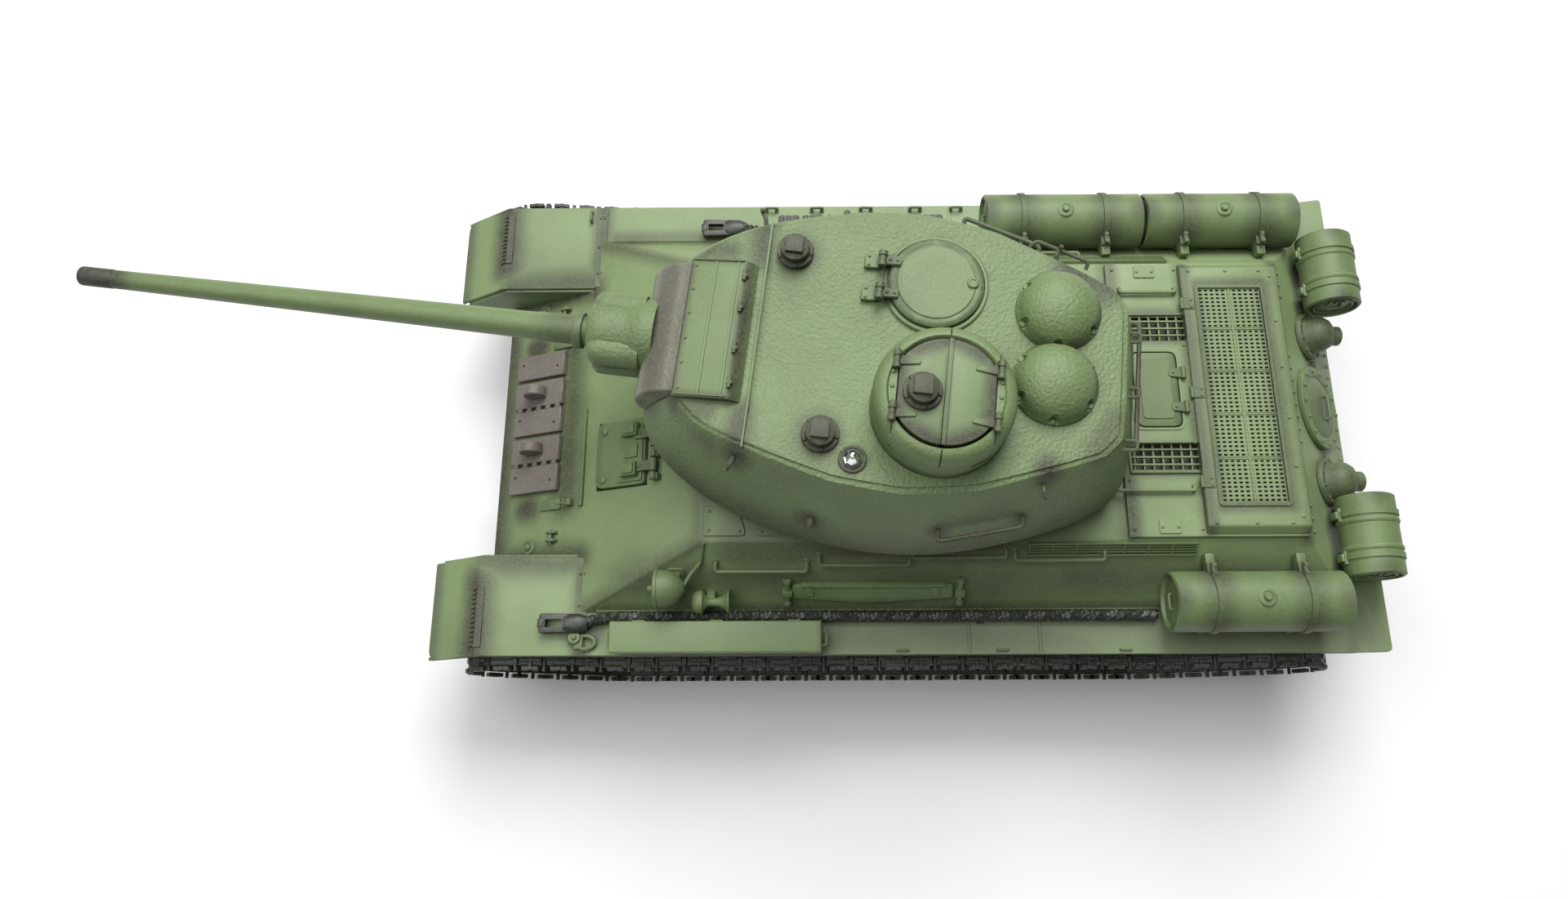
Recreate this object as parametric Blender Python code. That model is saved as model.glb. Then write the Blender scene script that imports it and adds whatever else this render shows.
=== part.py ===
# Radio-controlled model of a medium tank with a cast turret, long gun, hull with
# sloped sides, five road wheels a side, fenders, stowage and outside fuel drums.
# Frame: +X to the front, +Y to the tank's left, +Z up, ground at Z = 0.
import bpy
import bmesh
import math
from mathutils import Matrix, Vector

MM = 0.001

# ---- driving dimensions, millimetres; X here is counted from the hull datum ----
HALF_WIDTH = 65.0        # fender edge
TRACK_OUT = 68.2         # outer face of the tracks
TRACK_IN = 45.0          # inner face of the tracks
MUZZLE = 215.0           # gun muzzle from the turret axis
REAR_END = -107.0        # back of the smoke canisters
TURRET_X = 13.7          # turret axis
TURRET_YAW = -7.0        # how the turret stands, degrees
FENDER = 45.5            # top of the fenders
ROOF = 61.4              # hull roof
ROOF_HALF = 38.3         # half-width of the roof
FOOT_HALF = 53.9         # half-width of the side plates at the fender
GUARD_IN = 38.9          # inner edge of the mudguards
GLACIS_TOP = 71.9        # X where the glacis meets the roof
NOSE_X = 132.1
NOSE_Z = 32.2
BELLY = 17.5             # underside of the hull
TUB_HALF = 38.2          # half-width of the lower hull
WALL = 2.0
GAP = 0.3                # clearance between touching pieces
RUN = 0.1                # running clearance of a shaft in its hole
SHEET = 1.2              # fender sheet
REAR_TOP = -83.0         # X where the rear plate meets the roof
WHEEL_R = 17.0
WHEEL_X = (95.0, 59.5, 20.5, -15.5, -51.0)
WHEEL_Z = 19.5
IDLER = (124.0, 29.0, 11.5)
SPROCKET = (-81.5, 28.5, 12.5)
LINK = 2.3               # track thickness
AXLE_R = 2.0
HORN_H = 4.4             # guide horns
TURRET_ROOF = 96.3
RING_R = 30.4
GUN_Z = 83.5
TRUNNION = (58.5, 82.0)
MANTLET_R = 12.8
CUPOLA = (-1.6, 14.4, 16.3, 109.4)     # centre x, y, radius, top
LOADER = (2.0, -16.6, 11.3)
DRUM_R = 7.6
DRUM_Y = 53.3
DRUM_Z = 57.6
CAN_R = 7.2
TEETH_RING = 56
TEETH_PINION = 9
MODULE = 1.0

TURRET_COS = math.cos(math.radians(TURRET_YAW))
X0 = -(TURRET_X + (MUZZLE + 0.3) * TURRET_COS + REAR_END) / 2.0
HULL = Matrix.Translation((X0, 0.0, 0.0))
TURRET = Matrix.Translation((X0 + TURRET_X, 0.0, 0.0)) @ Matrix.Rotation(math.radians(TURRET_YAW), 4, "Z")

for ob in list(bpy.data.objects):
    bpy.data.objects.remove(ob, do_unlink=True)


def collection(name):
    col = bpy.data.collections.new(name)
    bpy.context.scene.collection.children.link(col)
    return col


PARTS = collection("rc_tank")
CUTTERS = collection("rc_tank_cutters")

PAINT = {
    "green": ((0.20, 0.26, 0.13), 0.55, 0.0),
    "shade": ((0.14, 0.17, 0.10), 0.6, 0.0),
    "black": ((0.02, 0.02, 0.02), 0.5, 0.0),
    "track": ((0.035, 0.032, 0.03), 0.6, 0.3),
    "brown": ((0.11, 0.09, 0.07), 0.6, 0.1),
    "steel": ((0.45, 0.45, 0.45), 0.35, 1.0),
    "chrome": ((0.8, 0.8, 0.8), 0.08, 1.0),
    "board": ((0.03, 0.15, 0.06), 0.45, 0.0),
    "cell": ((0.05, 0.10, 0.25), 0.4, 0.0),
    "tyre": ((0.03, 0.03, 0.03), 0.8, 0.0),
}


def finish(name, bm, paint=None, frame=HULL):
    """Closed mesh to an object; with no paint it is a cutter or a piece to be joined on."""
    bmesh.ops.remove_doubles(bm, verts=bm.verts, dist=0.00001)
    bmesh.ops.recalc_face_normals(bm, faces=bm.faces)
    mesh = bpy.data.meshes.new(name)
    bmesh.ops.scale(bm, vec=(MM, MM, MM), verts=bm.verts)
    shift = frame.copy()
    shift.translation = shift.translation * MM
    bmesh.ops.transform(bm, matrix=shift, verts=bm.verts)
    bm.to_mesh(mesh)
    bm.free()
    ob = bpy.data.objects.new(name, mesh)
    if paint is None:
        CUTTERS.objects.link(ob)
        ob.hide_render = True
        ob.display_type = "WIRE"
        return ob
    PARTS.objects.link(ob)
    colour, rough, metal = PAINT[paint]
    mat = bpy.data.materials.new(name)
    mat.use_nodes = True
    shader = mat.node_tree.nodes["Principled BSDF"]
    shader.inputs["Base Color"].default_value = (*colour, 1.0)
    shader.inputs["Roughness"].default_value = rough
    shader.inputs["Metallic"].default_value = metal
    mesh.materials.append(mat)
    return ob


def prism(points, axis, low, high):
    """Flat outline run along an axis: Y takes (x, z) points, X takes (y, z), Z takes (x, y)."""
    bm = bmesh.new()
    order = {"X": lambda p, t: (t, p[0], p[1]), "Y": lambda p, t: (p[0], t, p[1]),
             "Z": lambda p, t: (p[0], p[1], t)}[axis]
    near = [bm.verts.new(order(p, low)) for p in points]
    far = [bm.verts.new(order(p, high)) for p in points]
    bm.faces.new(near)
    bm.faces.new(far)
    count = len(points)
    for i in range(count):
        j = (i + 1) % count
        bm.faces.new((near[i], near[j], far[j], far[i]))
    return bm


def box(x0, x1, y0, y1, z0, z1):
    return prism([(x0, y0), (x1, y0), (x1, y1), (x0, y1)], "Z", z0, z1)


def convex(points):
    bm = bmesh.new()
    for p in points:
        bm.verts.new(p)
    bmesh.ops.convex_hull(bm, input=bm.verts)
    loose = [v for v in bm.verts if not v.link_faces]
    bmesh.ops.delete(bm, geom=loose, context="VERTS")
    return bm


def turned(profile, centre, axis="Z", steps=20):
    """Profile of (radius, height) pairs spun about an axis; ends on the axis or closes on itself."""
    bm = bmesh.new()
    verts = [bm.verts.new((r, 0.0, h)) for r, h in profile]
    edges = [bm.edges.new((verts[i], verts[i + 1])) for i in range(len(verts) - 1)]
    if profile[0][0] > 0.0 or profile[-1][0] > 0.0:
        edges.append(bm.edges.new((verts[-1], verts[0])))
    bmesh.ops.spin(bm, geom=verts + edges, cent=(0, 0, 0), axis=(0, 0, 1), angle=2 * math.pi,
                   steps=steps, use_merge=True)
    bmesh.ops.remove_doubles(bm, verts=bm.verts, dist=0.0005)
    turn = {"Z": Matrix.Identity(4), "Y": Matrix.Rotation(-math.pi / 2, 4, "X"),
            "X": Matrix.Rotation(math.pi / 2, 4, "Y")}[axis]
    bmesh.ops.transform(bm, matrix=Matrix.Translation(centre) @ turn, verts=bm.verts)
    return bm


def rod(centre, radius, low, high, axis="Z", steps=20):
    """Plain round bar; low and high are measured along the axis from the centre."""
    return turned([(0.0, low), (radius, low), (radius, high), (0.0, high)], centre, axis, steps)


def loft(rings):
    """Closed skin over rings of points with the same count; flat caps at both ends."""
    bm = bmesh.new()
    rows = [[bm.verts.new(p) for p in ring] for ring in rings]
    count = len(rows[0])
    for a, b in zip(rows, rows[1:]):
        for i in range(count):
            j = (i + 1) % count
            bm.faces.new((a[i], a[j], b[j], b[i]))
    bm.faces.new(rows[0])
    bm.faces.new(rows[-1])
    bmesh.ops.triangulate(bm, faces=bm.faces)
    return bm


def tube(points, radius, count=10):
    """Round bar along a line of points."""
    pts = [Vector(p) for p in points]
    rings = []
    for i, p in enumerate(pts):
        along = (pts[min(i + 1, len(pts) - 1)] - pts[max(i - 1, 0)]).normalized()
        side = along.cross(Vector((0, 0, 1))).normalized()
        over = side.cross(along)
        rings.append([p + side * radius * math.cos(2 * math.pi * k / count)
                      + over * radius * math.sin(2 * math.pi * k / count) for k in range(count)])
    return loft(rings)


def tilt(bm, angle, pivot, axis="Y"):
    m = Matrix.Translation(pivot) @ Matrix.Rotation(angle, 4, axis) @ Matrix.Translation(-Vector(pivot))
    bmesh.ops.transform(bm, matrix=m, verts=bm.verts)
    return bm


def combine(ob, bm, how, frame=HULL):
    """Boolean of a piece with a shape: UNION joins it on, DIFFERENCE cuts it away."""
    tool = finish(ob.name + "_" + how.lower() + "_" + str(len(ob.modifiers)), bm, None, frame)
    mod = ob.modifiers.new("bool" + str(len(ob.modifiers)), "BOOLEAN")
    mod.operation = how
    mod.solver = "EXACT"
    mod.object = tool


def join(ob, bm, frame=HULL):
    combine(ob, bm, "UNION", frame)


def cut(ob, bm, frame=HULL):
    combine(ob, bm, "DIFFERENCE", frame)


def origin(ob, point, frame=HULL):
    """Puts the object's origin on its joint axis."""
    place = frame @ Vector(point)
    place = Vector(place) * MM
    ob.data.transform(Matrix.Translation(-place))
    ob.location = place


def glacis(x, off=0.0):
    slope = (ROOF - NOSE_Z) / (NOSE_X - GLACIS_TOP)
    return NOSE_Z + (NOSE_X - x) * slope - off


def rear(x, off=0.0):
    return ROOF + (x - REAR_TOP) * 0.988 - off


def hinge_arm(hx, hz, r, far, low, y0, y1):
    """Strap and knuckle in one: from the knuckle at (hx, hz) back to x = far, down to z = low."""
    d = 1.0 if hx > far else -1.0
    post = far + d * 1.5
    pts = [(far, low), (post, low), (post, hz - 0.45)]
    for a in (207, 240, 270, 300, 330, 0, 30, 60, 90):
        pts.append((hx + d * r * math.cos(math.radians(a)), hz + r * math.sin(math.radians(a))))
    pts.append((far, hz + r * 0.7))
    return prism(pts, "Y", y0, y1)


GLACIS_ANGLE = math.atan2(ROOF - NOSE_Z, NOSE_X - GLACIS_TOP)
SIDES = (("left", 1.0), ("right", -1.0))

# ---- lower hull: open tub with a sloped nose, screw posts and the wheel axles ----
tub = [(-82, BELLY), (103, BELLY), (130.4, 30.3), (102.4, 44.0), (-97.5, 44.0), (-103, 38.5)]
hull_lower = finish("hull_lower", prism(tub, "Y", -TUB_HALF, TUB_HALF), "shade")
inside = [(-81, BELLY + WALL), (102.3, BELLY + WALL), (124.0, 29.6), (99.5, 41.4), (99.5, 60), (-94.6, 60),
          (-94.6, 43.0), (-99.8, 38.0)]
cut(hull_lower, prism(inside, "Y", -TUB_HALF + WALL, TUB_HALF - WALL))
cut(hull_lower, box(-22, 42, -19, 19, BELLY - 1, BELLY + WALL + 1))
cut(hull_lower, box(-58, -50, -3, 3, BELLY - 1, BELLY + WALL + 1))
for x in (-64.0, 84.0):
    for s in (-1, 1):
        join(hull_lower, rod((x, s * 34.5, 0), 2.8, BELLY + 1, 43.6, steps=12))
for side, s in SIDES:
    for x in WHEEL_X:
        join(hull_lower, rod((x, 0, WHEEL_Z), AXLE_R, min(s * 37, s * 61), max(s * 37, s * 61), "Y", 12))
    join(hull_lower, rod((IDLER[0], 0, IDLER[1]), AXLE_R, min(s * 34, s * 61), max(s * 34, s * 61), "Y", 12))
    cut(hull_lower, rod((SPROCKET[0], 0, SPROCKET[1]), AXLE_R + GAP, min(s * 34, s * 41), max(s * 34, s * 41),
                        "Y", 12))

# ---- upper hull: sloped shell with fenders, mudguards and glacis in one moulding ----
FLOOR = FENDER - SHEET


def side_y(z):
    return ROOF_HALF + (ROOF - z) * (FOOT_HALF - ROOF_HALF) / (ROOF - FENDER)


def shell(z0, z1, off_g, off_y, off_r):
    pts = []
    for z in (z0, z1):
        xf = NOSE_X - (z + off_g - NOSE_Z) / math.tan(GLACIS_ANGLE)
        xr = REAR_TOP + (z + off_r - ROOF) / 0.988
        for s in (-1, 1):
            pts.append((xf, s * (side_y(z) - off_y), z))
            pts.append((xr, s * (side_y(z) - off_y), z))
    return convex(pts)


hull_upper = finish("hull_upper", shell(FLOOR + 0.4, ROOF, 0, 0, 0), "green")
cut(hull_upper, shell(FLOOR - 3.0, ROOF - WALL, 2.5, 2.7, 2.8))
fender = [(-105.9, 48.3), (-98.0, FENDER), (132.2, FENDER), (146.7, 35.3), (145.9, 34.4), (131.7, FLOOR),
          (-98.0, FLOOR), (-105.9, 47.0)]
for side, s in SIDES:
    y0, y1 = sorted((s * GUARD_IN, s * HALF_WIDTH))
    join(hull_upper, prism(fender, "Y", y0, y1))
    y0, y1 = sorted((s * 36.8, s * 41.0))
    join(hull_upper, box(-90.0, 98.0, y0, y1, FLOOR + 0.2, FENDER - 0.2))
    y0, y1 = sorted((s * (TUB_HALF + 0.2), s * (GUARD_IN + 1.0)))
    web = [(100.0, FLOOR + 0.5), (131.0, FLOOR + 0.5), (144.6, 35.6), (131.6, NOSE_Z - 0.6)]
    join(hull_upper, prism(web, "Y", y0, y1))
slab = [(NOSE_X, NOSE_Z), (101.0, glacis(101.0, 0.05)), (101.0, glacis(101.0, 2.2)), (131.1, glacis(131.1, 2.2))]
join(hull_upper, prism(slab, "Y", -GUARD_IN + 0.3, GUARD_IN - 0.3))
slab = [(-90.0, rear(-90.0, 0.05)), (-105.6, rear(-105.6)), (-104.6, rear(-104.6, 2.6)), (-90.0, rear(-90.0, 2.6))]
join(hull_upper, prism(slab, "Y", -TUB_HALF + 0.1, TUB_HALF - 0.1))
for s in (-1, 1):
    join(hull_upper, rod((-64.0, s * 34.5, 0), 2.3, 44.3, ROOF - 1.0, steps=12))
    join(hull_upper, rod((84.0, s * 34.5, 0), 2.3, 44.3, glacis(84.0) - 1.6, steps=12))
cut(hull_upper, rod((TURRET_X, 0, 0), RING_R + 0.9, ROOF - 5, ROOF + 5, steps=32))
cut(hull_upper, box(-78, -40, -32, 32, ROOF - 5, ROOF + 5))
hatch_mid = (94.2, 12.0, glacis(94.2))
cut(hull_upper, tilt(box(86.0, 102.4, 2.5, 21.5, hatch_mid[2] - 5, hatch_mid[2] + 5), GLACIS_ANGLE, hatch_mid))
mg_mid = (93.5, -21.5, glacis(93.5) + 1.4)
join(hull_upper, turned([(0, -5.6), (6.6, -5.6), (6.6, 1.0), (5.2, 3.6), (0, 4.4)], mg_mid, "X", 20))
cut(hull_upper, turned([(0, -7.5), (2.0, -7.5), (2.0, -4.2), (3.2, -3.1), (4.25, -1.5), (4.5, 0), (4.25, 1.5),
                        (3.4, 2.95), (3.4, 8), (0, 8)], mg_mid, "X", 20))

# ---- bow machine gun: ball in its socket with a stub barrel ----
ball = [(0, -4.0), (1.55, -3.7), (2.85, -2.8), (3.7, -1.5), (4.0, 0), (3.7, 1.5), (2.85, 2.8), (1.1, 3.84),
        (1.1, 9.4), (0, 9.4)]
bow_mg = finish("bow_mg", turned(ball, mg_mid, "X", 16), "shade")
origin(bow_mg, mg_mid)

# ---- driver's hatch, hinged at its upper edge ----
plate = box(86.3, 102.1, 2.8, 21.2, hatch_mid[2] - 1.6, hatch_mid[2] + 1.2)
driver_hatch = finish("driver_hatch", tilt(plate, GLACIS_ANGLE, hatch_mid), "green")
knuckle = Vector((82.9, 0, hatch_mid[2] + 2.2))
turn = Matrix.Translation(hatch_mid) @ Matrix.Rotation(GLACIS_ANGLE, 4, "Y") @ Matrix.Translation(-Vector(hatch_mid))
hinge_x, hinge_z = (turn @ knuckle)[0], (turn @ knuckle)[2]
for y in (6.0, 15.0):
    arm = hinge_arm(knuckle[0], knuckle[2], 1.0, 88.5, hatch_mid[2] + 0.6, y, y + 3.5)
    join(driver_hatch, tilt(arm, GLACIS_ANGLE, hatch_mid))
origin(driver_hatch, (hinge_x, 12.0, hinge_z))

# ---- engine deck: raised panel, louvred grilles and the transverse cowl ----
DECK_Z = ROOF + GAP
deck = finish("engine_deck", box(-82.6, -36.8, -37.8, 37.8, DECK_Z, DECK_Z + 1.2), "green")
panel = [(-56.5, DECK_Z + 1.0), (-38.4, DECK_Z + 1.0), (-39.6, DECK_Z + 2.6), (-56.5, DECK_Z + 2.6)]
join(deck, prism(panel, "Y", -14.6, 14.6))
cowl = [(-37.8, DECK_Z + 1.0), (-35.6, DECK_Z + 3.3), (35.6, DECK_Z + 3.3), (37.8, DECK_Z + 1.0)]
join(deck, prism(cowl, "X", -82.6, -56.0))
cut(deck, box(-53.0, -40.8, -11.6, 9.6, DECK_Z - 1, DECK_Z + 5))
for y in (-21.8, 13.6):
    for k in range(4):
        x = -55.0 + k * 4.1
        cut(deck, box(x, x + 2.4, y, y + 6.6, DECK_Z - 1, DECK_Z + 5))
for k in range(5):
    y = -29.4 + k * 11.9
    cut(deck, box(-77.0, -60.6, y, y + 10.9, DECK_Z + 2.0, DECK_Z + 5))
    for j in range(3):
        cut(deck, box(-75.6 + j * 5.0, -72.6 + j * 5.0, y + 1.2, y + 9.7, DECK_Z - 1, DECK_Z + 5))

lid = [(-52.6, -9.2), (-50.6, -11.2), (-43.2, -11.2), (-41.2, -9.2), (-41.2, 7.2), (-43.2, 9.2), (-50.6, 9.2),
       (-52.6, 7.2)]
engine_hatch = finish("engine_hatch", prism(lid, "Z", DECK_Z + 1.0, DECK_Z + 3.0), "green")
for y in (-7.0, 2.4):
    join(engine_hatch, hinge_arm(-54.1, DECK_Z + 3.3, 0.7, -49.9, DECK_Z + 2.3, y, y + 3.2))
origin(engine_hatch, (-54.1, -1.0, DECK_Z + 3.3))

# ---- rear plate fittings: round transmission hatch and two exhaust cowls ----
mid = (-94.4, 0.0, rear(-94.4))
rear_angle = -math.atan(0.988)
disc = rod((mid[0], 0, mid[2]), 11.6, GAP, 1.5, steps=24)
rear_hatch = finish("rear_hatch", tilt(disc, rear_angle, mid), "green")
for side, s in SIDES:
    m = (-94.0, s * 20.8, rear(-94.0))
    base = tilt(rod(m, 6.6, GAP, 1.6, steps=16), rear_angle, m)
    exhaust = finish("exhaust_" + side, base, "shade")
    hood = tilt(turned([(0, 1.0), (4.6, 1.0), (4.4, 5.5), (2.6, 7.4), (0, 7.8)], m, "Z", 14), rear_angle, m)
    join(exhaust, hood)

# ---- glacis: spare track links, two tow hooks' brackets share the strip ----
link = box(112.0, 128.4, -21.6, 20.4, 0.25, 1.7)
spare = finish("spare_links", tilt(link, GLACIS_ANGLE, (NOSE_X, 0, 0)), "brown",
               HULL @ Matrix.Translation((0, 0, NOSE_Z)))
for y in (-8.6, 8.0):
    bump = box(119.0, 122.6, y - 1.6, y + 1.6, 1.4, 7.2)
    join(spare, tilt(bump, GLACIS_ANGLE, (NOSE_X, 0, 0)), HULL @ Matrix.Translation((0, 0, NOSE_Z)))

def on_side(x0, x1, a0, a1, h0, h1):
    """Box on the left side plate: a runs up the slope from the fender, h stands off the plate."""
    lean = math.atan2(ROOF - FENDER, FOOT_HALF - ROOF_HALF)
    out = Vector((0, math.sin(lean), math.cos(lean)))
    up = Vector((0, -math.cos(lean), math.sin(lean)))
    base = Vector((0, FOOT_HALF, FENDER))
    pts = []
    for x in (x0, x1):
        for a in (a0, a1):
            for h in (h0, h1):
                p = base + up * a + out * h
                pts.append((x, p[1], p[2]))
    return convex(pts)


# ---- left side: headlight, horn, saw box, stowage box ----
lamp = turned([(0, 0.0), (1.6, 0.0), (3.6, 1.5), (4.6, 4.0), (4.8, 7.0), (4.2, 8.0), (0, 8.6)],
              (75.5, 49.6, 58.8), "X", 16)
headlight = finish("headlight", lamp, "green")
join(headlight, on_side(77.6, 80.0, 11.4, 13.6, GAP, 3.5))
bell = turned([(0, 0.0), (2.6, 0.0), (2.8, 2.4), (1.3, 4.6), (1.2, 6.6), (3.2, 9.4), (0, 9.4)],
              (65.0, 52.2, 52.6), "X", 14)
horn = finish("horn", bell, "green")
join(horn, on_side(68.4, 70.6, 5.2, 7.4, GAP, 3.4))


saw = finish("saw_box", on_side(5.0, 50.0, 5.0, 9.8, GAP, 3.6), "green")
join(saw, on_side(4.0, 6.4, 3.6, 11.2, GAP + 0.1, 4.2))
join(saw, on_side(48.6, 51.0, 3.6, 11.2, GAP + 0.1, 4.2))
stow = finish("stowage_box", box(41.2, 95.0, 57.2, 64.9, FENDER + GAP, FENDER + 7.6), "green")
join(stow, box(41.0, 95.2, 57.0, 65.0, FENDER + 6.2, FENDER + 8.0))

# ---- tow cables: a line from eye to eye, lying on the fender beside the side plate ----


def cable(name, s, xs):
    z = FENDER + GAP + 1.7
    eye = [(xs[0] + 8.4, s * 54.2), (xs[0] + 8.4, s * 59.4), (xs[0], s * 58.2), (xs[0], s * 55.6)]
    line = finish(name, prism(eye, "Z", z - 1.2, z + 1.2), "black")
    cut(line, box(xs[0] + 2.8, xs[0] + 6.6, *sorted((s * 55.7, s * 57.9)), z - 3, z + 3))
    reach = xs[0] - xs[1]
    line_pts = [(xs[0] + 1.2, s * 56.9, z + 0.15), (xs[0] - 10.6, s * 55.2, z + 0.15)]
    line_pts += [(xs[0] - reach * t, s * y, z + 0.15) for t, y in ((0.3, 55.1), (0.6, 55.3), (0.8, 55.2), (1.0, 55.3))]
    join(line, tube(line_pts, 1.6))
    return line


cable("tow_cable_left", 1.0, (106.0, -46.0))
cable("tow_cable_right", -1.0, (66.0, 0.0))

# ---- fuel drums on the sides and smoke canisters across the rear ----


def drum(name, s, x0, x1):
    r = DRUM_R
    body = [(0, x0 + 0.8), (r - 1.4, x0 + 0.8), (r - 1.0, x0), (r, x0)]
    straps = (x0 + 10.5, x1 - 10.5)
    for x in straps:
        body += [(r, x - 1.2), (r + 0.35, x - 1.2), (r + 0.35, x + 1.2), (r, x + 1.2)]
    body += [(r, x1), (r - 1.0, x1), (r - 1.4, x1 - 0.8), (0, x1 - 0.8)]
    ob = finish(name, turned(body, (0, s * DRUM_Y, DRUM_Z), "X", 16), "green")
    for x in straps:
        pts = [(s * 54.4, FENDER + GAP), (s * 53.2, DRUM_Z - 4), (s * 57.5, DRUM_Z - 4), (s * 60.5, FENDER + GAP)]
        join(ob, prism(pts, "X", x - 0.9, x + 0.9))
    return ob


drum("fuel_drum_left", 1.0, -90.6, -46.6)
drum("fuel_drum_right_front", -1.0, -48.8, -5.2)
drum("fuel_drum_right_rear", -1.0, -91.6, -49.6)
for side, s in SIDES:
    y0, y1 = sorted((s * 26.6, s * 47.4))
    body = [(0, y0 + 0.6), (CAN_R - 1.0, y0 + 0.6), (CAN_R - 0.9, y0), (CAN_R, y0), (CAN_R, y1),
            (CAN_R - 0.9, y1), (CAN_R - 1.0, y1 - 0.6), (0, y1 - 0.6)]
    can = finish("smoke_canister_" + side, turned(body, (REAR_END + CAN_R, 0, 57.6), "Y", 16), "green")
    for y in (s * 31.5, s * 42.5):
        foot = [(-96.0, rear(-96.0, -GAP)), (-99.0, rear(-99.0, -GAP)), (-99.0, 54.0), (-95.8, 54.0)]
        join(can, prism(foot, "Y", y - 1.0, y + 1.0))

# ---- running gear: road wheels, idler, sprocket ----
MID_Y = (TRACK_IN + TRACK_OUT) / 2


def wheel_profile(r, bore, cap):
    """Double disc with a groove for the guide horns; measured from the inner face outwards."""
    w0, w1 = 1.4, 20.0
    groove = MID_Y - TRACK_IN
    deep = r - HORN_H - 0.9
    return [(bore, w0), (r, w0), (r, groove - 2.1), (deep, groove - 2.1), (deep, groove + 2.1), (r, groove + 2.1),
            (r, w1 - 1.2), (r - 3.0, w1 - 1.2), (cap, w1 - 3.0), (cap, w1 + 0.6), (0, w1 + 0.6), (0, 16.4),
            (bore, 16.4)]


def wheel(name, s, x, z, r, paint, cap=4.4, shaft=False):
    prof = wheel_profile(r, AXLE_R + RUN, cap)
    if shaft:
        prof = [(0, -16.0), (AXLE_R, -16.0), (AXLE_R, 1.4)] + prof[1:-2]
    prof = [(rr, s * (TRACK_IN + h)) for rr, h in prof]
    ob = finish(name, turned(prof, (x, 0, z), "Y", 14), paint)
    origin(ob, (x, s * MID_Y, z))
    return ob


for side, s in SIDES:
    for k, x in enumerate(WHEEL_X):
        wheel("road_wheel_" + side + "_" + str(k + 1), s, x, WHEEL_Z, WHEEL_R, "green")
    wheel("idler_" + side, s, IDLER[0], IDLER[1], IDLER[2], "green", 3.4)
    wheel("sprocket_" + side, s, SPROCKET[0], SPROCKET[1], SPROCKET[2], "green", 3.8, True)

# ---- tracks: one closed belt a side, draped over the wheels, with guide horns ----


def arc(cx, cz, r, a0, a1, n):
    out = []
    for i in range(n + 1):
        a = math.radians(a0 + (a1 - a0) * i / n)
        out.append((cx + r * math.cos(a), cz + r * math.sin(a)))
    return out


def belt(off):
    """Belt outline at a distance off outside the wheels' rims, counter-clockwise from the rear bottom."""
    pts = [(WHEEL_X[4], WHEEL_Z - WHEEL_R - off), (WHEEL_X[0], WHEEL_Z - WHEEL_R - off)]
    pts = arc(WHEEL_X[4], WHEEL_Z, WHEEL_R + off, -112, -90, 3) + arc(WHEEL_X[0], WHEEL_Z, WHEEL_R + off, -90, -60, 4)
    pts += arc(IDLER[0], IDLER[1], IDLER[2] + off, -52, 98, 12)
    for k in range(5):
        x = WHEEL_X[k]
        pts += arc(x, WHEEL_Z, WHEEL_R + 0.5 + off, 84, 96, 1)
    pts += arc(SPROCKET[0], SPROCKET[1], SPROCKET[2] + off, 82, 248, 12)
    return pts


for side, s in SIDES:
    outer = belt(0.2 + LINK)
    inner = belt(0.2)
    y0, y1 = sorted((s * TRACK_IN, s * TRACK_OUT))
    track = finish("track_" + side, prism(outer, "Y", y0, y1), "track")
    cut(track, prism(inner, "Y", y0 - 1, y1 + 1))
    path = belt(0.2 + LINK / 2)
    total = 0.0
    step = 29.2
    want = 4.0
    for a, b in zip(path, path[1:] + path[:1]):
        seg = math.hypot(b[0] - a[0], b[1] - a[1])
        while want < total + seg:
            t = (want - total) / seg
            px, pz = a[0] + (b[0] - a[0]) * t, a[1] + (b[1] - a[1]) * t
            ang = math.atan2(b[1] - a[1], b[0] - a[0])
            horn_bm = prism([(-2.2, 0), (2.2, 0), (1.1, HORN_H + LINK / 2), (-1.1, HORN_H + LINK / 2)], "Y",
                            s * MID_Y - 1.3, s * MID_Y + 1.3)
            bmesh.ops.transform(horn_bm, matrix=Matrix.Translation((px, 0, pz)) @ Matrix.Rotation(-ang, 4, "Y"),
                                verts=horn_bm.verts)
            join(track, horn_bm)
            want += step
        total += seg

# ---- inside: battery, cover, switch, board, speaker, drive gearboxes, turret drive ----
cover = finish("battery_cover", box(-21.7, 41.7, -18.7, 18.7, BELLY, BELLY + 1.8), "shade")
battery = finish("battery", box(-18, 38, -16.5, 16.5, BELLY + 2.4, BELLY + 19), "cell")
switch = finish("power_switch", box(-57.0, -53.4, -2.6, 2.6, BELLY + 0.2, BELLY + 3.4), "black")
join(switch, box(-60.0, -48.0, -4.5, 4.5, BELLY + WALL + GAP, BELLY + 4.4))
cut(switch, box(-61, -47, -6, 6, BELLY + 4.0, BELLY + 6))
origin(switch, (-55.2, 0, BELLY + 2))
board = finish("circuit_board", box(-46, -24, -24, 24, 41.0, 42.6), "board")
for x, y, w, d, h in ((-42, -18, 10, 10, 2.5), (-44, 4, 16, 8, 4.0), (-34, 14, 6, 8, 6.0)):
    join(board, box(x, x + w, y, y + d, 42.0, 42.6 + h))
speaker = finish("speaker", turned([(0, 0), (5.0, 0), (5.0, 4.2), (13.0, 6.4), (13.0, 8.0), (11.6, 8.0), (4.0, 5.2),
                                    (0, 5.2)], (66.0, 0, 26.0), "Z", 20), "black")
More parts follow.
